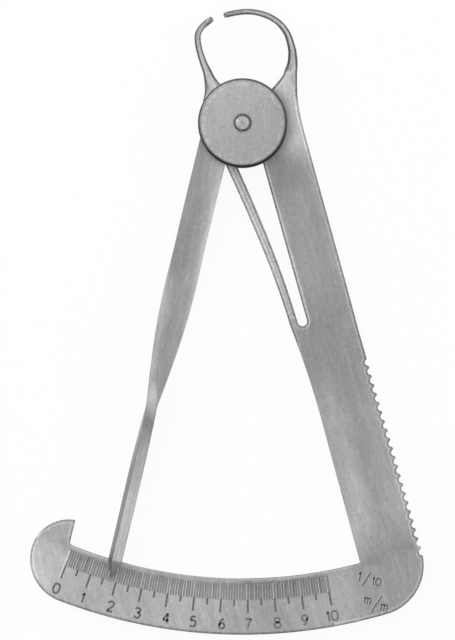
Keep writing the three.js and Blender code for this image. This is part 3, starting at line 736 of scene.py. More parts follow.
def jaw_outline(places, overrun, widths, power, level, rounding):
    """Both edges of a jaw from its root round the domed tip and back: points, the ways in to a thin flat
    along its crown, levels, half thicknesses and rounding heights. The width goes from the rod's to the
    tip's, plus what is left of the root's flare, which falls with a power of the way along. The section
    turns from a sheet's into a round one just past the root, and the crown stops short of the tip."""
    root_width, rod_width, tip_width = widths
    line = np.vstack((places[0] - (0, overrun), places)) if overrun else places
    length = through(line, 2)[2]
    root_share, back, short = overrun / length, 1.6 / length, 0.4 / length
    run = np.linspace(root_share, 1 - (TIP_DOME + TIP_CLEARANCE) / length, 46)
    tip_run = 1 - (TIP_DOME * (1 - DOME_SHARES) + TIP_CLEARANCE) / length
    share = np.concatenate((run, tip_run))
    scale = np.sqrt(1 - (0.893 * np.concatenate((np.zeros(len(run)), DOME_SHARES))) ** 2)
    gone = np.clip((share - root_share) / (1 - root_share), 0, 1)
    width = rod_width + (tip_width - rod_width) * share + (root_width - rod_width) * (1 - gone) ** power
    half_width = width * scale / 2
    round_share = smoothstep(gone, -0.03, 0.12)
    reach = lerp(rounding, 0.94 * half_width, round_share)
    squeezed = np.where(share > 1 - back, 1 - back + (share - 1 + back) * (back - short) / back, share)
    half = lerp(PLATE_HALF, np.minimum(ROD_THICKNESS, width) / 2, smoothstep(gone, 0, 0.1))
    half *= lerp(1, 0.35 + 0.65 * scale, scale < 1)
    middle = lerp(level, TIP_LEVEL, smoothstep(share, 0.15, 0.9))
    drop = lerp(rounding, 0.95 * half, round_share)
    sides = []
    for shares, keep in ((share, half_width), (lerp(share, squeezed, round_share), half_width - reach)):
        points, heading, _ = through(line, shares)
        square = leftward(heading) * keep[:, None]
        sides.append(np.concatenate((points - square, (points + square)[::-1])))
    return (sides[0], sides[1] - sides[0],
            *(np.concatenate((values, values[::-1])) for values in (middle, half, drop)))


def right_jaw():
    """Centre line of the frame's jaw."""
    root = np.array((JAW_BACK - JAW_ROOT_WIDTH / 2, JAW_ROOT_HEIGHT))
    return jaw_places(root, at_bearing(JAW_RADIUS, CLOSURE_BEARING), RIGHT_JAW_SHARES)


def left_jaw():
    """Centre line of the lever's jaw in the lever's own frame."""
    root = at_angle(LEFT_ROOT_RADIUS, LEFT_ROOT_ANGLE)
    return jaw_places(root, at_bearing(JAW_RADIUS, CLOSURE_BEARING - closed_turn()), LEFT_JAW_SHARES)


def grip_edge():
    """The scalloped grip: round notches along the arm's edge, with the teeth between them rounded. Each notch's
    circle stops TOOTH_LEAD degrees short of the edge, and a curve leads on to the tooth."""
    inside = NOTCH_RADIUS - NOTCH_DEPTH
    lean = math.degrees(math.asin(inside / NOTCH_RADIUS)) + TOOTH_LEAD
    half = math.sqrt(NOTCH_RADIUS**2 - inside**2)
    distance = GRIP_START + GRIP_PITCH * np.arange(NOTCH_COUNT)
    centres = beside_edge(distance, ARM_EDGE + inside - ramp(distance, EDGE_DIPS))
    notch = arc((0, 0), NOTCH_RADIUS, ARM_EDGE_BEARING + 90 + lean, ARM_EDGE_BEARING + 270 - lean, 0.12)
    start, end = -half * EDGE_DOWN - inside * EDGE_ACROSS, half * EDGE_DOWN - inside * EDGE_ACROSS
    lead = quadratic(start - TOOTH_ROUND * EDGE_DOWN, start, notch[0], 4)
    trail = quadratic(notch[-1], end, end + TOOTH_ROUND * EDGE_DOWN, 4)
    one = np.vstack((lead[:-1], notch, trail[1:]))
    return (centres[:, None] + one).reshape(-1, 2)


def frame_loop(rounding):
    """The frame plate's outline with its jaw, anticlockwise: the arm's outer edge with shoulder and grip, the
    scale's outer arc, the hook, the inner arc, the arm's inner edge, the stub of the leaf spring, the slot,
    the window and the hub."""
    distance = (JAW_BACK - ARM_EDGE * EDGE_ACROSS[0]) / EDGE_DOWN[0]
    corner = beside_edge(distance, ARM_EDGE)
    shoulder = quadratic(np.array((JAW_BACK, corner[1] + SHOULDER_TOP)), corner,
                         beside_edge(distance + SHOULDER_BOTTOM, ARM_EDGE), 16)
    offset = ARM_EDGE - CORNER_RADIUS
    corner_distance = math.sqrt((SCALE_OUTER - CORNER_RADIUS) ** 2 - offset**2)
    grip_end = GRIP_START + (NOTCH_COUNT - 1) * GRIP_PITCH + NOTCH_RADIUS + GRIP_TAIL
    centre = beside_edge(corner_distance, offset)
    start = ARM_EDGE_BEARING - math.degrees(math.asin(max(0, grip_end - corner_distance) / CORNER_RADIUS))
    end = angle_of(centre)
    end_centre = at_bearing(SCALE_OUTER - LEFT_END_RADIUS, LEFT_END_BEARING)
    back_centre = end_centre + at_angle(LEFT_END_RADIUS - HOOK_BACK_RADIUS, HOOK_BACK_ANGLE)
    hook_back = arc(back_centre, HOOK_BACK_RADIUS, HOOK_BACK_ANGLE - 360, HOOK_TIP_ANGLE - 360)
    root_bearing = HOOK_ROOT_BEARING + math.degrees(HOOK_FILLET / SCALE_INNER)
    end_bearing = INNER_CORNER_BEARING - math.degrees(INNER_FILLET / SCALE_INNER)
    inner_arc = arc((0, 0), SCALE_INNER, root_bearing - 90, end_bearing - 90)
    leaf_root = leaf_edge(0, -1)
    slot_left = leaf_edge(0, 1)
    slot_right = beside_edge(slot_left @ EDGE_DOWN, SLOT_OFFSET)
    slot_centre = (slot_left + slot_right) / 2
    slot_radius = np.linalg.norm(slot_right - slot_centre)
    slot_angle = angle_of(slot_right - slot_centre)
    window = beside_edge(math.sqrt(CORE_RADIUS**2 - SLOT_OFFSET**2), SLOT_OFFSET)
    window_angle = angle_of(window)
    jaw = right_jaw()
    jaw_front = np.array((JAW_BACK - JAW_ROOT_WIDTH, JAW_ROOT_HEIGHT))
    web_bend = jaw_front - WEB_BEND * unit(jaw[1] - jaw[0])
    to_leaf = np.concatenate((
        shoulder,
        np.array([beside_edge(distance, ARM_EDGE - dip) for distance, dip in EDGE_DIPS[:2]]),
        grip_edge(),
        arc(centre, CORNER_RADIUS, start, end),
        arc((0, 0), SCALE_OUTER, end, LEFT_END_BEARING - 90)[1:],
        arc(end_centre, LEFT_END_RADIUS, LEFT_END_BEARING - 90, HOOK_BACK_ANGLE - 360)[1:],
        hook_back[1:],
        fillet(hook_back[-1], at_bearing(SCALE_INNER, HOOK_ROOT_BEARING), inner_arc[0], HOOK_FILLET),
        inner_arc[1:-1],
        fillet(inner_arc[-2], at_bearing(SCALE_INNER, INNER_CORNER_BEARING), INNER_STRAIGHT, INNER_FILLET),
        quadratic(np.array(INNER_STRAIGHT), INNER_BEND, leaf_root, 40),
    ))
    from_leaf = np.concatenate((
        leaf_edge(np.array((LEAF_STUB,)), -1),
        leaf_edge(np.array((LEAF_STUB,)), 1),
        arc(slot_centre, slot_radius, slot_angle + 180, slot_angle + 360, 0.12),
        arc((0, 0), CORE_RADIUS, window_angle, WINDOW_END_ANGLE - 360),
        arc((0, 0), HUB_RADIUS, WINDOW_END_ANGLE, WEB_ANGLE),
        quadratic(at_angle(HUB_RADIUS, WEB_ANGLE), web_bend, jaw_front, 10)[1:-1],
    ))
    stub = len(to_leaf)
    plain, owner, step = dense(np.concatenate((to_leaf, from_leaf)))
    kept = ~((owner == owner.max()) & (step > 0))
    plain, owner, step = plain[kept], owner[kept], step[kept]
    inward = np.full(plain.shape, np.nan)
    cut = owner == stub
    inward[cut] = 0
    for index, side in ((stub, -1), (stub + 1, 1)):
        inward[(owner == index) & (step == 0)] = side * rounding * leftward(leaf_line(LEAF_STUB)[1])
    points, ways, middle, half, drop = jaw_outline(
        jaw, RIGHT_JAW_OVERRUN, RIGHT_JAW_WIDTHS, RIGHT_FLARE_POWER, FRAME_LEVEL, rounding)
    ones = np.ones(len(plain))
    outline, inward, middle, half, drop, cut = (np.concatenate((first, then[::-1]))[::-1] for first, then in (
        (plain, points), (inward, ways), (FRAME_LEVEL * ones, middle), (PLATE_HALF * ones, half),
        (rounding * ones, drop), (cut, np.zeros(len(points), bool))))
    return Loop(outline, middle, half, rounding, inward, drop, np.roll(cut, -1))


def lever_loop(rounding):
    """The lever's hub and jaw, anticlockwise, at the turn of the shown reading."""
    shape = jaw_outline(left_jaw(), 0, LEFT_JAW_WIDTHS, LEFT_FLARE_POWER, LEVER_LEVEL, rounding)
    outside = np.linalg.norm(shape[0], axis=1) > HUB_RADIUS + 0.05
    points, ways, middle, half, drop = (values[outside] for values in shape)
    angles = np.degrees(np.arctan2(points[[0, -1], 1], points[[0, -1], 0]))
    hub = arc((0, 0), HUB_RADIUS, angles[1] % 360 + 1, angles[0] % 360 + 360 - 1)
    ones = np.ones(len(hub))
    outline, inward, middle, half, drop = (np.concatenate(pair) for pair in (
        (hub, points), (np.full(hub.shape, np.nan), turned_by(ways, LEVER_TURN)), (LEVER_LEVEL * ones, middle),
        (PLATE_HALF * ones, half), (rounding * ones, drop)))
    return Loop(turned_by(outline, LEVER_TURN), middle, half, rounding, inward, drop)


def rivet_hole(level):
    """The hole for the rivet in a plate, clockwise."""
    return Loop(arc((0, 0), HOLE_RADIUS, 360, 0, 0.2)[:-1], level, PLATE_HALF, HOLE_ROUND)


def arm_tones(distance, side):
    """The painted light and shade of the pointer arm's faces, between the ramps in ARM_TONES along the arm and round
    it.
    """
    painted_shades = np.array([ramp(distance, ARM_TONES[k]) for k in TONE_RAMPS])
    start = np.searchsorted(TONE_SIDES, side, "right") - 1
    low, high = np.array(TONE_SIDES)[start], np.array(TONE_SIDES)[start + 1]
    number = np.arange(len(side))
    return lerp(painted_shades[start, number], painted_shades[start + 1, number], (side - low) / (high - low))


def frame_tones(points):
    """Painted light and shade on the frame plate: between WEB_TONES and FRAME_TONES by the distance from the
    pivot axis, between SCALE_TONES along the scale by the bearing, and lighter in a band along the arm's inner
    edge and beside the grip."""
    radius, bearing = polar(points)
    offset, down = points[:, :2] @ EDGE_ACROSS, points[:, :2] @ EDGE_DOWN
    arm = lerp(ramp(radius, FRAME_TONES), ramp(radius, WEB_TONES), smoothstep(bearing, 45, 75))
    bands = 0.24 * smoothstep(offset, 3.8, 2.2) + 0.12 * smoothstep(offset, 6.5, 8)
    arm *= 1 + smoothstep(down, 40, 52) * bands
    hook = smoothstep(bearing, -21, -23) * (0.1 * smoothstep(radius, 79, 82) - 0.16 * smoothstep(radius, 78, 74))
    return lerp(arm, ramp(bearing, SCALE_TONES), smoothstep(radius, 68, 76)) * (1 + hook)


def frame_wear(points):
    """How much of the painted dark line along the frame's edge, and of the painted shade on its roundings, is
    left off: all along the arm's inner edge, and some of it along the scale's inner arc, most right of the pointer."""
    radius, bearing = polar(points)
    offset, down = points[:, :2] @ EDGE_ACROSS, points[:, :2] @ EDGE_DOWN
    arm = smoothstep(offset, 3.5, 1.5) * smoothstep(down, 36, 42) * smoothstep(radius, 74.9, 74.2) * (bearing > 5)
    inner = smoothstep(radius, 74.2, 74.8) * smoothstep(radius, 76.5, 76)
    middle = smoothstep(bearing, -15, -12) * smoothstep(bearing, 2, -3)
    return np.maximum(arm, inner * lerp(0.3, 0.8, middle))


def beside_line(points, line, heading):
    """How far points are to the left of a line, and the share of the way along it."""
    away = points[:, None, :2] - line
    near = (away**2).sum(2).argmin(1)
    away = away[np.arange(len(points)), near]
    return (leftward(heading[near]) * away).sum(1), near / (len(line) - 1)


def jaw_tones(points, places, ramps):
    """Painted light and shade on a jaw, between the ramps for its left side, its crown and its right side by
    the share of the way along its centre line; that share; and 1 on the left side."""
    beside, share = beside_line(points, *through(places, 200)[:2])
    beside = np.clip(beside / 0.45, -1, 1)
    left, crown, right = (ramp(share, stops) for stops in ramps)
    return np.where(beside > 0, lerp(crown, left, beside), lerp(crown, right, -beside)), share, beside > 0


def lever_arm(rounding):
    """The pointer arm as a loft in the lever's own frame, turned to the shown reading. It lies flat, turns
    about its centre line as ARM_TWIST says, narrows to a needle and rises in front of the scale. Its
    thickness grows where it stands on edge, as ARM_THICKNESS says."""
    along = math.sqrt(POINTER_RADIUS**2 - POINT_OFFSET**2)
    needle_start = along - NEEDLE_LENGTH
    distance = np.concatenate(((ARM_START, 6, 12, 16, 20), np.linspace(22, needle_start, 92),
                               np.linspace(needle_start, along - POINT_LENGTH, 8)[1:],
                               along - POINT_LENGTH * np.array((0.66, 0.33, 0))))
    turn, depth = np.radians(along_table(ARM_TWIST, distance)), along_table(ARM_THICKNESS, distance)
    needle_level = LEVER_BOTTOM + (NEEDLE_DEPTH * math.sin(turn[-1]) + depth[-1] * abs(math.cos(turn[-1]))) / 2
    offset = lerp(ARM_OFFSET, NEEDLE_OFFSET, np.clip((distance - ARM_START) / OFFSET_RUN, 0, 1))
    height = lerp(LEVER_LEVEL, needle_level, smoothstep(distance, RISE_START, needle_start))
    width = lerp(ARM_WIDTH, NEEDLE_DEPTH, smoothstep(distance, NARROW_START, RISE_START))
    taper = np.clip((distance - along + POINT_LENGTH) / POINT_LENGTH, 0, 1)
    width, depth, height, offset = (lerp(value, end, taper) for value, end in (
        (width, POINT_SIZE), (depth, POINT_SIZE), (height, LEVER_BOTTOM + POINT_SIZE), (offset, POINT_OFFSET)))
    centres = np.column_stack((turned_by(np.stack((-offset, -distance), -1), LEVER_TURN), height))
    right = turned_by(np.array((1.0, 0.0)), LEVER_TURN)
    across = np.column_stack((np.cos(turn)[:, None] * right, -np.sin(turn)))
    out = np.column_stack((np.sin(turn)[:, None] * right, np.cos(turn)))
    points, faces, rim, wall, side = loft(centres, across, out, width, depth, lerp(rounding, 0.04, taper))
    columns = (len(points) - 2) // len(distance)
    place = np.append(np.repeat(distance, columns), distance[[0, -1]])
    return points, faces, rim + 1, wall, arm_tones(place, side)


# Materials

class Wire:
    """An output socket of a node. Sums, products and powers of wires and numbers add Math nodes."""

    def __init__(self, finish, socket):
        self.finish = finish
        self.socket = socket

    def maths(self, operation, *values):
        """A Math node on wires and numbers."""
        return self.finish.node("ShaderNodeMath", {"operation": operation}, dict(enumerate(values)))

    def __add__(self, other):
        return self.maths("ADD", self, other)

    __radd__ = __add__

    def __mul__(self, other):
        return self.maths("MULTIPLY", self, other)

    __rmul__ = __mul__

    def __sub__(self, other):
        return self.maths("SUBTRACT", self, other)

    def __rsub__(self, other):
        return self.maths("SUBTRACT", other, self)

    def __truediv__(self, other):
        return self.maths("DIVIDE", self, other)

    def __pow__(self, other):
        return self.maths("POWER", self, other)

    def fade(self, low, high, start=0.0, end=1.0):
        """start below low, end above high, and smooth between them."""
        return self.finish.node("ShaderNodeMapRange", {"interpolation_type": "SMOOTHSTEP"},
                                {0: self, 1: low, 2: high, 3: start, 4: end})


class Finish:
    """A material or world whose nodes are added one by one."""

    def __init__(self, owner):
        owner.use_nodes = True
        self.tree = owner.node_tree
        self.tree.nodes.clear()

    def node(self, kind, settings=None, values=None, output=0):
        """Adds a node: its settings first, then a value or a wire for each named or numbered socket."""
        node = self.tree.nodes.new(kind)
        for name, value in (settings or {}).items():
            setattr(node, name, value)
        for name, value in (values or {}).items():
            if isinstance(value, Wire):
                self.tree.links.new(value.socket, node.inputs[name])
            else:
                node.inputs[name].default_value = value
        return Wire(self, node.outputs[output]) if node.outputs else None

    def noise(self, place, scale, detail=2.0, roughness=0.5, distortion=0.0):
        """Noise from 0 to 1 whose lumps are about 1 / scale across."""
        return self.node("ShaderNodeTexNoise", None, {"Vector": place, "Scale": scale, "Detail": detail,
                                                      "Roughness": roughness, "Distortion": distortion})

    def stored(self, attribute):
        """A number that the mesh keeps at its points."""
        return self.node("ShaderNodeAttribute", {"attribute_name": attribute}, None, 2)

    def axes(self, place, count=2):
        """The first coordinates of a place, a wire each."""
        return [self.node("ShaderNodeSeparateXYZ", None, {0: place}, k) for k in range(count)]

    def millimetres(self):
        """Object coordinates in millimetres."""
        return self.stretched(self.node("ShaderNodeTexCoord", None, None, 3), 0, (1000, 1000, 1000))

    def metal(self, values):
        """Shows a Principled shader with the values and wires for its sockets."""
        shader = self.node("ShaderNodeBsdfPrincipled", None, values)
        self.node("ShaderNodeOutputMaterial", None, {"Surface": shader})

    def stretched(self, place, turn, scale):
        """The place turned about Z by an angle in degrees and scaled along each axis."""
        turned = self.node("ShaderNodeMapping", {"vector_type": "POINT"},
                           {"Vector": place, "Rotation": (0, 0, math.radians(turn))})
        return self.node("ShaderNodeMapping", {"vector_type": "POINT"}, {"Vector": turned, "Scale": scale})

    def tinted(self, colour, tone):
        """A colour made lighter or darker by a number."""
        return self.node("ShaderNodeVectorMath", {"operation": "SCALE"}, {0: colour, "Scale": tone})

    def mixed(self, share, first, second):
        """The first colour at 0 and the second at 1."""
        return self.node("ShaderNodeMix", {"data_type": "RGBA"}, {0: share, 6: first, 7: second}, 2)


def steel(name, colour, streaks, roughness, edge_shade=0.3, edge_highlight=0.4, side_shade=0.62, extra=None):
    """Brushed steel. Streaks are (turn, share) pairs: noise drawn out along a bearing lightens and darkens
    the metal, roughens it and raises it by microns. Cloudy stains, short scratches and bright streaks along
    and across the grain and pits come on top, then painted light and shade: a painted dark line along each
    edge with a painted highlight inside it, painted shade on the roundings, and the painted light and shade
    that each mesh keeps in its tone."""
    material = bpy.data.materials.new(name)
    finish = Finish(material)
    place = finish.millimetres()
    grain, glint, scratch = 0.0, 0.0, 0.0
    for turn, share in streaks:
        fine = finish.noise(finish.stretched(place, turn, (3.2, 0.35, 3.2)), 1.0, 3.0, 0.6, 0.3)
        coarse = finish.noise(finish.stretched(place, turn, (0.75, 0.09, 0.75)), 1.0, 2.0, 0.5, 0.5)
        short = finish.noise(finish.stretched(place, turn, (2.3, 0.4, 2.3)), 1.0, 1.0, 0.5, 0.6)
        grain = grain + share * (fine * 0.5 + coarse * 0.5 - 0.5)
        glint = glint + share * short.fade(0.62, 0.76)
    stain = finish.noise(place, 0.11, 3.0, 0.55) - 0.5
    mottle = finish.noise(place, 1.9, 3.0, 0.65) - 0.5
    for turn in (34, -27, 71):
        lines = finish.noise(finish.stretched(place, turn, (5.5, 0.22, 5.5)), 1.0, 1.0)
        scratch = scratch + lines.fade(0.66, 0.74)
    pits = finish.noise(place, 3.4, 1.0).fade(0.7, 0.78)
    specks = finish.noise(place, 2.7, 2.0, 0.6) - 0.5
    rim, wall, shade = (finish.stored(attribute) for attribute in ("rim", "wall", "tone"))
    wobble = finish.noise(place, 0.9, 2.0) - 0.5
    # painted shade: a dark line along each edge, with a painted highlight just inside it
    near = rim + wobble * 0.1
    dark = near.fade(0.0, 0.12) * near.fade(0.18, 0.34, 1, 0)
    light = near.fade(0.28, 0.4) * near.fade(0.5, 0.68, 1, 0)
    side = wall.fade(0.12, 0.7) * wall.fade(0.92, 1.0, 1, 0.6)
    tone = (1 + grain * 0.8 + stain * 0.3 + mottle * 0.35 + scratch * 0.1 + glint * 0.2 - pits * 0.2
            + specks * near.fade(0.3, 1.2, 1.1, 0.15)
            + light * edge_highlight * (0.8 + wobble) - dark * edge_shade * (0.8 + wobble))
    # painted shade on the roundings, then the painted light and shade that the mesh keeps in its tone
    tone = tone * (1 - side * side_shade) * shade
    if extra:
        tone = tone * extra(finish, place)
    bump = finish.node("ShaderNodeBump", None, {
        "Strength": 0.25, "Distance": 0.00003, "Height": grain * 1.4 - scratch * 0.25 + mottle * 0.5})
    finish.metal({"Base Color": finish.tinted(tuple(colour), tone), "Metallic": 0.92, "Normal": bump,
                  "Roughness": roughness + grain * 0.22 + stain * 0.12 + side * 0.1})
    return material


def scale_wear(finish, place):
    """Grime between the fine lines of the scale: heaviest at their inner ends and between the figures 7 and 10,
    in patches."""
    across, along = finish.axes(place)
    radius = (across * across + along * along) ** 0.5
    bearing = across.maths("ARCTAN2", across, along * -1) * (180 / math.pi)
    marked = bearing.fade(ZERO_BEARING - 0.4, ZERO_BEARING) * bearing.fade(LAST_BEARING, LAST_BEARING + 0.4, 1, 0)
    patches = finish.noise(place, 0.8, 3.0, 0.6).fade(0.35, 0.65)
    zone = radius.fade(75.3, 76.0) * radius.fade(78.1, 78.7, 1, 0)
    ends = radius.fade(75.0, 75.9) * radius.fade(76.1, 77.2, 1, 0)
    late = bearing.fade(-2.5, 4.5) * bearing.fade(6.5, 8.5, 1, 0.7) * 0.26 + bearing.fade(-19.5, -17.5, 0.12, 0)
    return 1 - marked * (zone * (0.2 + patches * 0.12 + late) + ends * (0.12 + patches * 0.12))


def turning_marks(finish, place):
    """Faint rings about the pivot axis, as facing on a lathe leaves them."""
    across, along = finish.axes(place)
    radius = (across * across + along * along) ** 0.5
    line = finish.node("ShaderNodeCombineXYZ", None, {0: radius * 4.0})
    dashes = finish.noise(place, 1.6, 2.0).fade(0.48, 0.62) * radius.fade(6.1, 6.35) * radius.fade(6.5, 6.7, 1, 0)
    scuffs = finish.noise(finish.stretched(place, 12, (2.2, 0.5, 2.2)), 1.0, 2.0, 0.6, 0.8)
    return (1 + (finish.noise(line, 1.0, 2.0) - 0.5) * 0.12 + dashes * 0.26 + scuffs.fade(0.62, 0.74) * 0.14
            - scuffs.fade(0.38, 0.28) * 0.12)


# Operators

class MakeFramePlate(Operator):
    """Sheet-steel frame: scale, arm with its grip, hub and round jaw in one piece"""

    bl_idname = "caliper.make_frame_plate"
    bl_label = "Make the frame plate"

    def execute(self, context):
        edges, look = context.scene.caliper_edges, context.scene.caliper_finish
        rounding = edges.plate_round / MM
        points, faces, rim, wall = sheet_metal([frame_loop(rounding), rivet_hole(FRAME_LEVEL)], edges.round_steps)
        material = steel("frame_steel", look.plate_colour, ((-ARM_EDGE_BEARING, look.brushing),), look.roughness,
                         extra=scale_wear)
        # painted light and shade on the plate and on its jaw
        jaw, along, left = jaw_tones(points, right_jaw(), RIGHT_JAW_TONES)
        # where the painted dark edge line and the painted shade on the roundings are left off, also near the jaw's
        # tip
        wear_and_shade_gaps = np.maximum(frame_wear(points), 0.8 * smoothstep(along, 0.95, 0.99))
        x, y, (radius, _) = points[:, 0], points[:, 1], polar(points)
        # painted shade along the edges beside the web, along the foot of the scale, inside the jaw and along the
        # scale's inner arc, and a painted highlight along the slot
        bottom = smoothstep(radius, 82, 82.8) * (x < 15)
        web = smoothstep(y, 3, 5) * smoothstep(along, 0.04, 0.01)
        slot = (y > -33.5) * (y < -7) * (np.abs(points[:, :2] @ EDGE_ACROSS - SLOT_OFFSET) < 1)
        inside = left * smoothstep(along, 0, 0.01) * smoothstep(along, 0.5, 0.36)
        painted_shades = frame_tones(points) * jaw
        painted_shades *= 1 - 0.55 * web * smoothstep(rim, 0.6, 0.2) - 0.2 * bottom * smoothstep(rim, 0.6, 0.4)
        painted_shades *= (1 - 0.45 * inside * ridge(rim, 0.36, 0.13)) * (1 + 0.5 * slot * ridge(rim, 0.38, 0.1))
        painted_shades *= 1 - 0.12 * smoothstep(radius, 75.6, 75.2) * smoothstep(radius, 74, 74.8)
        rim = rim - bottom * (0.38 * rim - 0.8 * smoothstep(rim, 0.4, 0.6)) + 0.8 * wear_and_shade_gaps
        put_in_mesh("frame_plate_dressed", points, faces, "frame", "frame_plate", material, rim,
                    wall * (1 - wear_and_shade_gaps), painted_shades)
        return {"FINISHED"}


class MakeLeafSpring(Operator):
    """Thin leaf sawn out of the arm, which on the caliper bends as the lever turns; here it is made in one shape"""

    bl_idname = "caliper.make_leaf_spring"
    bl_label = "Make the leaf spring"

    def execute(self, context):
        edges, look = context.scene.caliper_edges, context.scene.caliper_finish
        rounding = edges.plate_round / MM
        share = np.linspace(LEAF_STUB, 1, 70)
        right, left = leaf_edge(share, 1), leaf_edge(share[::-1], -1)
        outline = np.concatenate((right, left, lerp(left[-1], right[0], np.array(((1 / 3,), (2 / 3,))))))
        inward = np.full(outline.shape, np.nan)
        square = leftward(leaf_line(LEAF_STUB)[1])
        inward[0], inward[-3], inward[-2:] = rounding * square, -rounding * square, 0
        cut = np.arange(len(outline)) >= len(outline) - 3
        loop = Loop(outline, FRAME_LEVEL, PLATE_HALF, rounding, inward, cut=cut)
        points, faces, rim, wall = sheet_metal([loop], edges.round_steps, (0.2, 0.33, 0.46, 0.6, 0.74), 0.9)
        material = steel("leaf_steel", look.plate_colour, ((-18, look.brushing),), look.roughness, 0.55, 0.2, 0.35)
        beside, _ = beside_line(points, *leaf_line(np.linspace(0, 1, 200)))
        # painted light and shade along the leaf: lighter overall, darker down its middle, a painted highlight beside
        # that, and a painted dark line inside its right edge
        painted_shades = 1.24 - 0.25 * ridge(beside, 0, 0.12) + 0.16 * ridge(beside, 0.28, 0.12)
        painted_shades -= 0.46 * (beside < 0) * ridge(rim, 0.28, 0.13)
        leaf = put_in_mesh("leaf_spring_dressed", points, faces, None, "leaf_spring", material, rim,
                           wall, painted_shades)
        low, high = leaf_line(0.45)[0] * MM, leaf_line(0.97)[0] * MM
        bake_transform(leaf)
        return {"FINISHED"}


class MakePointerLever(Operator):
    """Lever with its hub and round jaw, and the arm that twists into a needle"""

    bl_idname = "caliper.make_pointer_lever"
    bl_label = "Make the pointer lever"

    def execute(self, context):
        edges, look = context.scene.caliper_edges, context.scene.caliper_finish
        rounding = edges.plate_round / MM
        points, faces, rim, wall = sheet_metal([lever_loop(rounding), rivet_hole(LEVER_LEVEL)], edges.round_steps)
        painted_shades, along_jaw, _ = jaw_tones(points, turned_by(left_jaw(), LEVER_TURN), LEFT_JAW_TONES)
        # near the jaw's tip the painted dark edge line and the painted shade on the roundings are mostly left off
        wear_and_shade_gaps = 0.8 * smoothstep(along_jaw, 0.92, 0.98)
        rim, wall = rim + wear_and_shade_gaps, wall * (1 - wear_and_shade_gaps)
        points, faces, rim, wall, painted_shades = joined((points, faces, rim, wall, painted_shades), lever_arm(rounding))
        material = steel("lever_steel", look.plate_colour, ((-LEVER_TURN, look.brushing),), look.roughness)
        put_in_mesh("pointer_lever_dressed", points, faces, "lever", "pointer_lever", material,
                    rim, wall, painted_shades)
        return {"FINISHED"}


def rounded_corner(radius, height, size, quarter, steps):
    """A quarter circle of a profile about (radius, height), from quarter 0 (outwards) anticlockwise."""
    angle = np.radians(90 * quarter + np.linspace(0, 90, steps + 1))
    return np.stack((radius + size * np.cos(angle), height + size * np.sin(angle)), -1)


def disc_profile(inner, outer, seat, rim_round, steps):
    """A disc's profile, anticlockwise: flat towards the plates, rounded rim, broad outer face, recess for
    the rivet's head and the hole."""
    face = np.concatenate((DISC_RADIUS - rim_round - np.array((0.08, 0.2)), np.linspace(DISC_RADIUS - 1, 2, 15),
                           (1.8, 1.66, 1.54)))
    return np.concatenate((
        ((HOLE_RADIUS, inner), (DISC_RADIUS - 0.4, inner)),
        rounded_corner(DISC_RADIUS - 0.1, inner + 0.1, 0.1, -1, 3),
        rounded_corner(DISC_RADIUS - rim_round, outer - rim_round, rim_round, 0, steps),
        np.column_stack((face, np.full(len(face), outer))),
        rounded_corner(RECESS_RADIUS + CORNER_ROUND, outer - CORNER_ROUND, CORNER_ROUND, 1, 3),
        ((RECESS_RADIUS, seat), (HOLE_RADIUS, seat))))


class MakeDiscs(Operator):
    """Faced discs in front of and behind the plates"""

    bl_idname = "caliper.make_discs"
    bl_label = "Make the discs"

    def execute(self, context):
        edges, look = context.scene.caliper_edges, context.scene.caliper_finish
        rim_round, steps = edges.disc_round / MM, edges.round_steps + 3
        front = disc_profile(LEVER_TOP, DISC_TOP, DISC_TOP - FRONT_RECESS, rim_round, steps)
        back = disc_profile(-FRAME_BOTTOM, 0, -BACK_RECESS, rim_round, steps) * (1, -1)
        for name, node, profile in (("front_disc_dressed", "front_disc", front),
                                    ("back_disc_dressed", "back_disc", back[::-1])):
            points, faces, rim, wall = turned(profile, edges.turned_steps)
            x, y = points[:, 0], points[:, 1]
            # painted light and shade: lighter towards the upper left, a painted dark ring along the rim that is
            # darker and wider towards the bottom, and painted shade round and in the rivet's recess
            below = smoothstep((0.2 * x - y) / DISC_RADIUS, -0.6, 1)
            rim_shade = 1 - smoothstep(rim, lerp(0.26, 0.3, below), lerp(0.62, 0.68, below))
            painted_shades = (0.94 + (y - x) / 90) * (1 - rim_shade * lerp(0.5, 0.8, below))
            painted_shades *= 1 - 0.35 * smoothstep(np.hypot(x, y), 1.75, 1.5)
            material = steel(node + "_steel", look.disc_colour, ((0, look.brushing * 0.5), (90, 0.2)),
                             look.roughness, 0.0, 0.0, 0.5, turning_marks)
            put_in_mesh(name, points, faces, "frame", node, material, rim, wall, painted_shades)
        return {"FINISHED"}


def rivet_tones(points):
    """Painted light and shade on the rivet's head: a painted highlight towards the left, painted shade of a dimple
    in the middle and at the lower right, with strokes of the hammer that run out from the middle."""
    x, y = points[:, 0], points[:, 1]
    radius, angle = np.hypot(x, y), np.arctan2(y, x)
    strokes = np.sin(7 * angle + 1) * 0.07 + np.sin(12 * angle + 2) * 0.06
    return (1 + 0.35 * smoothstep(-x, 0.45, 1.1) - 0.25 * smoothstep(radius, 0.45, 0.1)
            - 0.3 * smoothstep(x - y, 1.1, 1.6) + strokes * smoothstep(radius, 0.2, 0.5))


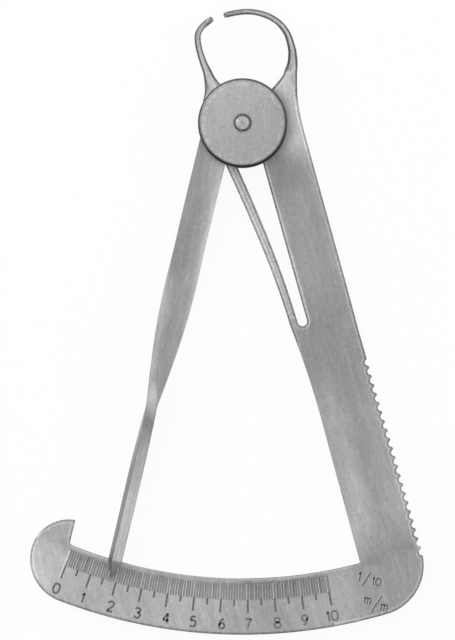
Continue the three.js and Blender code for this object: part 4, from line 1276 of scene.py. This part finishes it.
class MakePivot(Operator):
    """Rivet, washer and the stud that pushes the leaf spring"""

    bl_idname = "caliper.make_pivot"
    bl_label = "Make the rivet, washer and stud"

    def execute(self, context):
        edges, look = context.scene.caliper_edges, context.scene.caliper_finish
        steps = edges.turned_steps // 2
        dome = np.radians(np.linspace(0, 90, 10)[1:-1])
        crown = np.column_stack((RIVET_RADIUS * np.cos(dome), DISC_TOP + HEAD_RISE * np.sin(dome)))
        head, seat, foot, edge = DISC_TOP + HEAD_RISE, DISC_TOP - FRONT_RECESS, FRAME_BOTTOM + 0.1, 0.05
        rivet = np.concatenate((
            ((0, 0), (1.1, 0)), rounded_corner(RIVET_RADIUS - CORNER_ROUND, CORNER_ROUND, CORNER_ROUND, -1, 3),
            ((RIVET_RADIUS, BACK_RECESS), (SHANK_RADIUS, BACK_RECESS), (SHANK_RADIUS, seat), (RIVET_RADIUS, seat)),
            crown, ((0.08, head), (0, head))))
        washer = ((HOLE_RADIUS, FRAME_TOP), (WASHER_RADIUS - edge, FRAME_TOP), (WASHER_RADIUS, FRAME_TOP + edge),
                  (WASHER_RADIUS, LEVER_BOTTOM - edge), (WASHER_RADIUS - edge, LEVER_BOTTOM),
                  (HOLE_RADIUS, LEVER_BOTTOM))
        stud = ((0, foot), (STUD_RADIUS - 0.1, foot), (STUD_RADIUS, foot + 0.1), (STUD_RADIUS, LEVER_BOTTOM),
                (STUD_NECK, LEVER_BOTTOM), (STUD_NECK, LEVER_TOP - 0.1 - CORNER_ROUND),
                (STUD_NECK - CORNER_ROUND, LEVER_TOP - 0.1), (0, LEVER_TOP - 0.1))
        place = leaf_edge(STUD_SHARE, -1, STUD_GAP)
        material = steel("pivot_steel", look.pivot_colour, ((20, look.brushing * 0.4),), look.roughness - 0.06,
                         0.5, 0.0, 0.6)
        for name, node, body, profile, centre in (
                ("pivot_rivet_dressed", "pivot_rivet", "frame", rivet, (0, 0)),
                ("hub_washer_dressed", "hub_washer", "frame", washer, (0, 0)),
                ("spring_stud_dressed", "spring_stud", "lever", stud, place)):
            points, faces, rim, wall = turned(profile, steps, centre)
            put_in_mesh(name, points, faces, body, node, material, rim, wall,
                        rivet_tones(points) if body == "frame" else 1.0)
        return {"FINISHED"}


def figure_strokes(text, height):
    """Strokes of a line of figures, smooth through their points and centred on x = 0, with y from 0 up."""
    strokes, x = [], 0.0
    for letter in text:
        for stroke in FIGURES[letter]:
            path = np.array(stroke, float)
            if len(path) > 2:
                path = through(path, 24)[0]
            strokes.append((path + (x, 0)) * height)
        x += (ONE_WIDTH if letter == "1" else FIGURE_WIDTH) + FIGURE_GAP
    middle = (x - FIGURE_GAP) * height / 2
    return [stroke - (middle, 0) for stroke in strokes]


class MarkScale(Operator):
    """Engraved scale of tenths, halves and whole millimetres with its figures"""

    bl_idname = "caliper.mark_scale"
    bl_label = "Mark the scale"

    def execute(self, context):
        marks, look = context.scene.caliper_marks, context.scene.caliper_finish
        fine, bold, stroke_width = (width / MM for width in (marks.fine_width, marks.line_width, marks.stroke_width))
        fill, highlight_strips = [], []

        def cut(kind, line, width, height, tone):
            """Adds a strip from the groove's foot to a height over the plate to the fill or to the painted
            highlights beside the grooves.
            """
            points, faces = strip(line, width, FRAME_TOP - ENGRAVED_DEPTH, FRAME_TOP + height)
            kind.append((points, faces, np.full(len(points), tone)))

        for tenth in range(101):
            bearing = ZERO_BEARING + float(reading_turn(tenth / 10))
            zero, whole, uneven = tenth == 0, tenth % 10 == 0, math.sin(7.3 * tenth) * math.sin(2.9 * tenth)
            cut(fill, at_bearing(np.array((FINE_START, FINE_END)), bearing), fine, 0.005,
                0.95 if whole and tenth else 0.65 - 0.3 * uneven)
            if tenth % 5 == 0:
                ends = np.array((FINE_END - 0.05, WHOLE_END if whole else HALF_END))
                cut(fill, at_bearing(ends, bearing), bold, 0.005, 0.15)
            # painted highlight: a bright strip beside each line, where its edge would catch the light, widest and
            # brightest at the zero
            bright, tone = (0.3, 0.9) if zero else (0.15, 0.7) if whole else (0.09, 0.65 + 0.3 * uneven)
            shift = at_bearing((fine + bright) / 2 + 0.02, bearing - 90)
            ends = np.array((FINE_START, WHOLE_END if zero else FINE_END))
            cut(highlight_strips, at_bearing(ends, bearing) + shift, bright, 0.007, tone)
        for reading, shift in enumerate(FIGURE_SHIFTS):
            bearing = ZERO_BEARING + float(reading_turn(reading))
            for stroke in figure_strokes(str(reading), marks.figure_height / MM):
                line = turned_by(stroke + (shift, -FIGURE_FOOT), bearing)
                cut(fill, line, stroke_width, 0.005, 0.45 if reading > 6 else 0.2)
                # painted highlight beside each stroke
                cut(highlight_strips, line + (0.17, -0.05), 0.12, 0.003, 0.85)
        for text, place, height in UNIT_FIGURES:
            for stroke in figure_strokes(text, height):
                line = turned_by(stroke, UNIT_LEAN) + place
                cut(fill, line, 0.75 * stroke_width, 0.005, 0.2)
                # painted highlight beside each stroke
                cut(highlight_strips, line + (-0.16, 0.06), 0.12, 0.003, 0.8)
        finish = Finish(material := bpy.data.materials.new("scale_fill"))
        wear_and_shade_gaps = finish.noise(finish.millimetres(), 2.6, 3.0, 0.6).fade(0.38, 0.72)
        paint = finish.mixed(wear_and_shade_gaps * 0.5 + finish.stored("tone"), (*marks.fill_colour, 1), (0.26, 0.26, 0.26, 1))
        finish.metal({"Base Color": paint, "Roughness": 0.55 + wear_and_shade_gaps * 0.2, "Metallic": 0.4})
        points, faces, pale = joined(*fill)
        put_in_mesh("scale_lines_and_figures", points, faces, "frame", None, material, tone=pale)
        # painted highlight: the strips are much lighter than the plate's steel
        bright = steel("scale_highlight_steel", [1.8 * c for c in look.plate_colour], ((-10, 0.3),),
                       look.roughness - 0.1, 0, 0, 0)
        points, faces, tone = joined(*highlight_strips)
        put_in_mesh("scale_line_highlights", points, faces, "frame", None, bright, tone=tone)
        return {"FINISHED"}


class SetStage(Operator):
    """Pale table, soft light and the camera straight above"""

    bl_idname = "caliper.set_stage"
    bl_label = "Set the stage"

    def execute(self, context):
        studio, scene = context.scene.caliper_studio, context.scene
        x, y = np.meshgrid((-TABLE_HALF, TABLE_HALF), (-TABLE_HALF, TABLE_HALF))
        mesh = bpy.data.meshes.new("table")
        mesh.from_pydata(np.column_stack((x.ravel(), y.ravel(), np.zeros(4))).tolist(), [], [(0, 1, 3, 2)])
        floor = bpy.data.objects.new("table", mesh)
        scene.collection.objects.link(floor)
        finish = Finish(material := bpy.data.materials.new("table_white"))
        seen, glossy, clear = (finish.node("ShaderNodeLightPath", None, None, f"Is {kind} Ray")
                               for kind in ("Camera", "Glossy", "Transmission"))
        plain = finish.node("ShaderNodeBsdfDiffuse", None, {"Color": (*studio.floor_colour, 1)})
        glow = finish.node("ShaderNodeEmission", None, {"Color": (1, 1, 1, 1), "Strength": 1.0})
        mix = finish.node("ShaderNodeMixShader", None, {0: (seen + glossy + clear) * 0.93, 1: plain, 2: glow})
        finish.node("ShaderNodeOutputMaterial", None, {"Surface": mix})
        mesh.materials.append(material)

        world = bpy.data.worlds.new("soft_room")
        scene.world = world
        sky = Finish(world)
        way = sky.node("ShaderNodeTexCoord", None, None, 0)
        across, along, up = sky.axes(way, 3)
        level = up.fade(-0.05, 0.32, 0.3, 1.0) * along.fade(-0.85, -0.15, 0.35, 1.0)
        level = level * (1 + 0.12 * along + 0.1 * across)
        seen = sky.node("ShaderNodeLightPath", None, None, 0)
        level = level * (1 - seen) + seen
        sky.node("ShaderNodeOutputWorld", None, {"Surface": sky.node(
            "ShaderNodeBackground", None, {"Color": (1, 1, 1, 1), "Strength": level * studio.sky_level})})

        lamp = bpy.data.lights.new("soft_lamp", "AREA")
        lamp.shape, lamp.size, lamp.energy = "DISK", LAMP_SIZE, studio.lamp_power
        lamp_object = bpy.data.objects.new("soft_lamp", lamp)
        lamp_object.location = LAMP_PLACE
        aim = Vector(LAMP_AIM) - lamp_object.location
        lamp_object.rotation_euler = aim.to_track_quat("-Z", "Y").to_euler()
        camera = bpy.data.cameras.new("camera")
        camera.lens = camera.sensor_width / 2 * CAMERA_AWAY / (studio.picture_height / 2)
        camera.clip_end = 10
        camera_object = bpy.data.objects.new("camera", camera)
        camera_object.location = (*PICTURE_MIDDLE, CAMERA_AWAY + FRAME_TOP * MM)
        for thing in (lamp_object, camera_object):
            scene.collection.objects.link(thing)
        scene.camera = camera_object
        scene.view_settings.view_transform = "Standard"
        return {"FINISHED"}


class CaliperPanel(Panel):
    """Lists the steps that build the caliper"""

    bl_idname = "VIEW3D_PT_caliper"
    bl_label = "Wax caliper"
    bl_space_type = "VIEW_3D"
    bl_region_type = "UI"
    bl_category = "Caliper"

    def draw(self, context):
        for group in GROUPS:
            box = self.layout.box()
            settings = getattr(context.scene, group)
            for name in settings.__annotations__:
                box.prop(settings, name)
        for step in STEPS:
            self.layout.operator(step.bl_idname)


GROUPS = {"caliper_edges": CaliperEdges, "caliper_marks": CaliperMarks, "caliper_finish": CaliperFinish,
          "caliper_studio": CaliperStudio}
STEPS = (SetStage, MakeFramePlate, MakeLeafSpring, MakePointerLever, MakeDiscs, MakePivot, MarkScale)
CLASSES = (*GROUPS.values(), *STEPS, CaliperPanel)


def register():
    """Registers the settings, the operators and the panel."""
    for kind in CLASSES:
        bpy.utils.register_class(kind)
    for name, kind in GROUPS.items():
        setattr(bpy.types.Scene, name, PointerProperty(type=kind))


def unregister():
    """Takes them away again."""
    for name in GROUPS:
        delattr(bpy.types.Scene, name)
    for kind in reversed(CLASSES):
        bpy.utils.unregister_class(kind)


def main():
    """Builds every piece."""
    register()
    for step in STEPS:
        group, name = step.bl_idname.split(".")
        getattr(getattr(bpy.ops, group), name)()


if __name__ == "__main__":
    main()
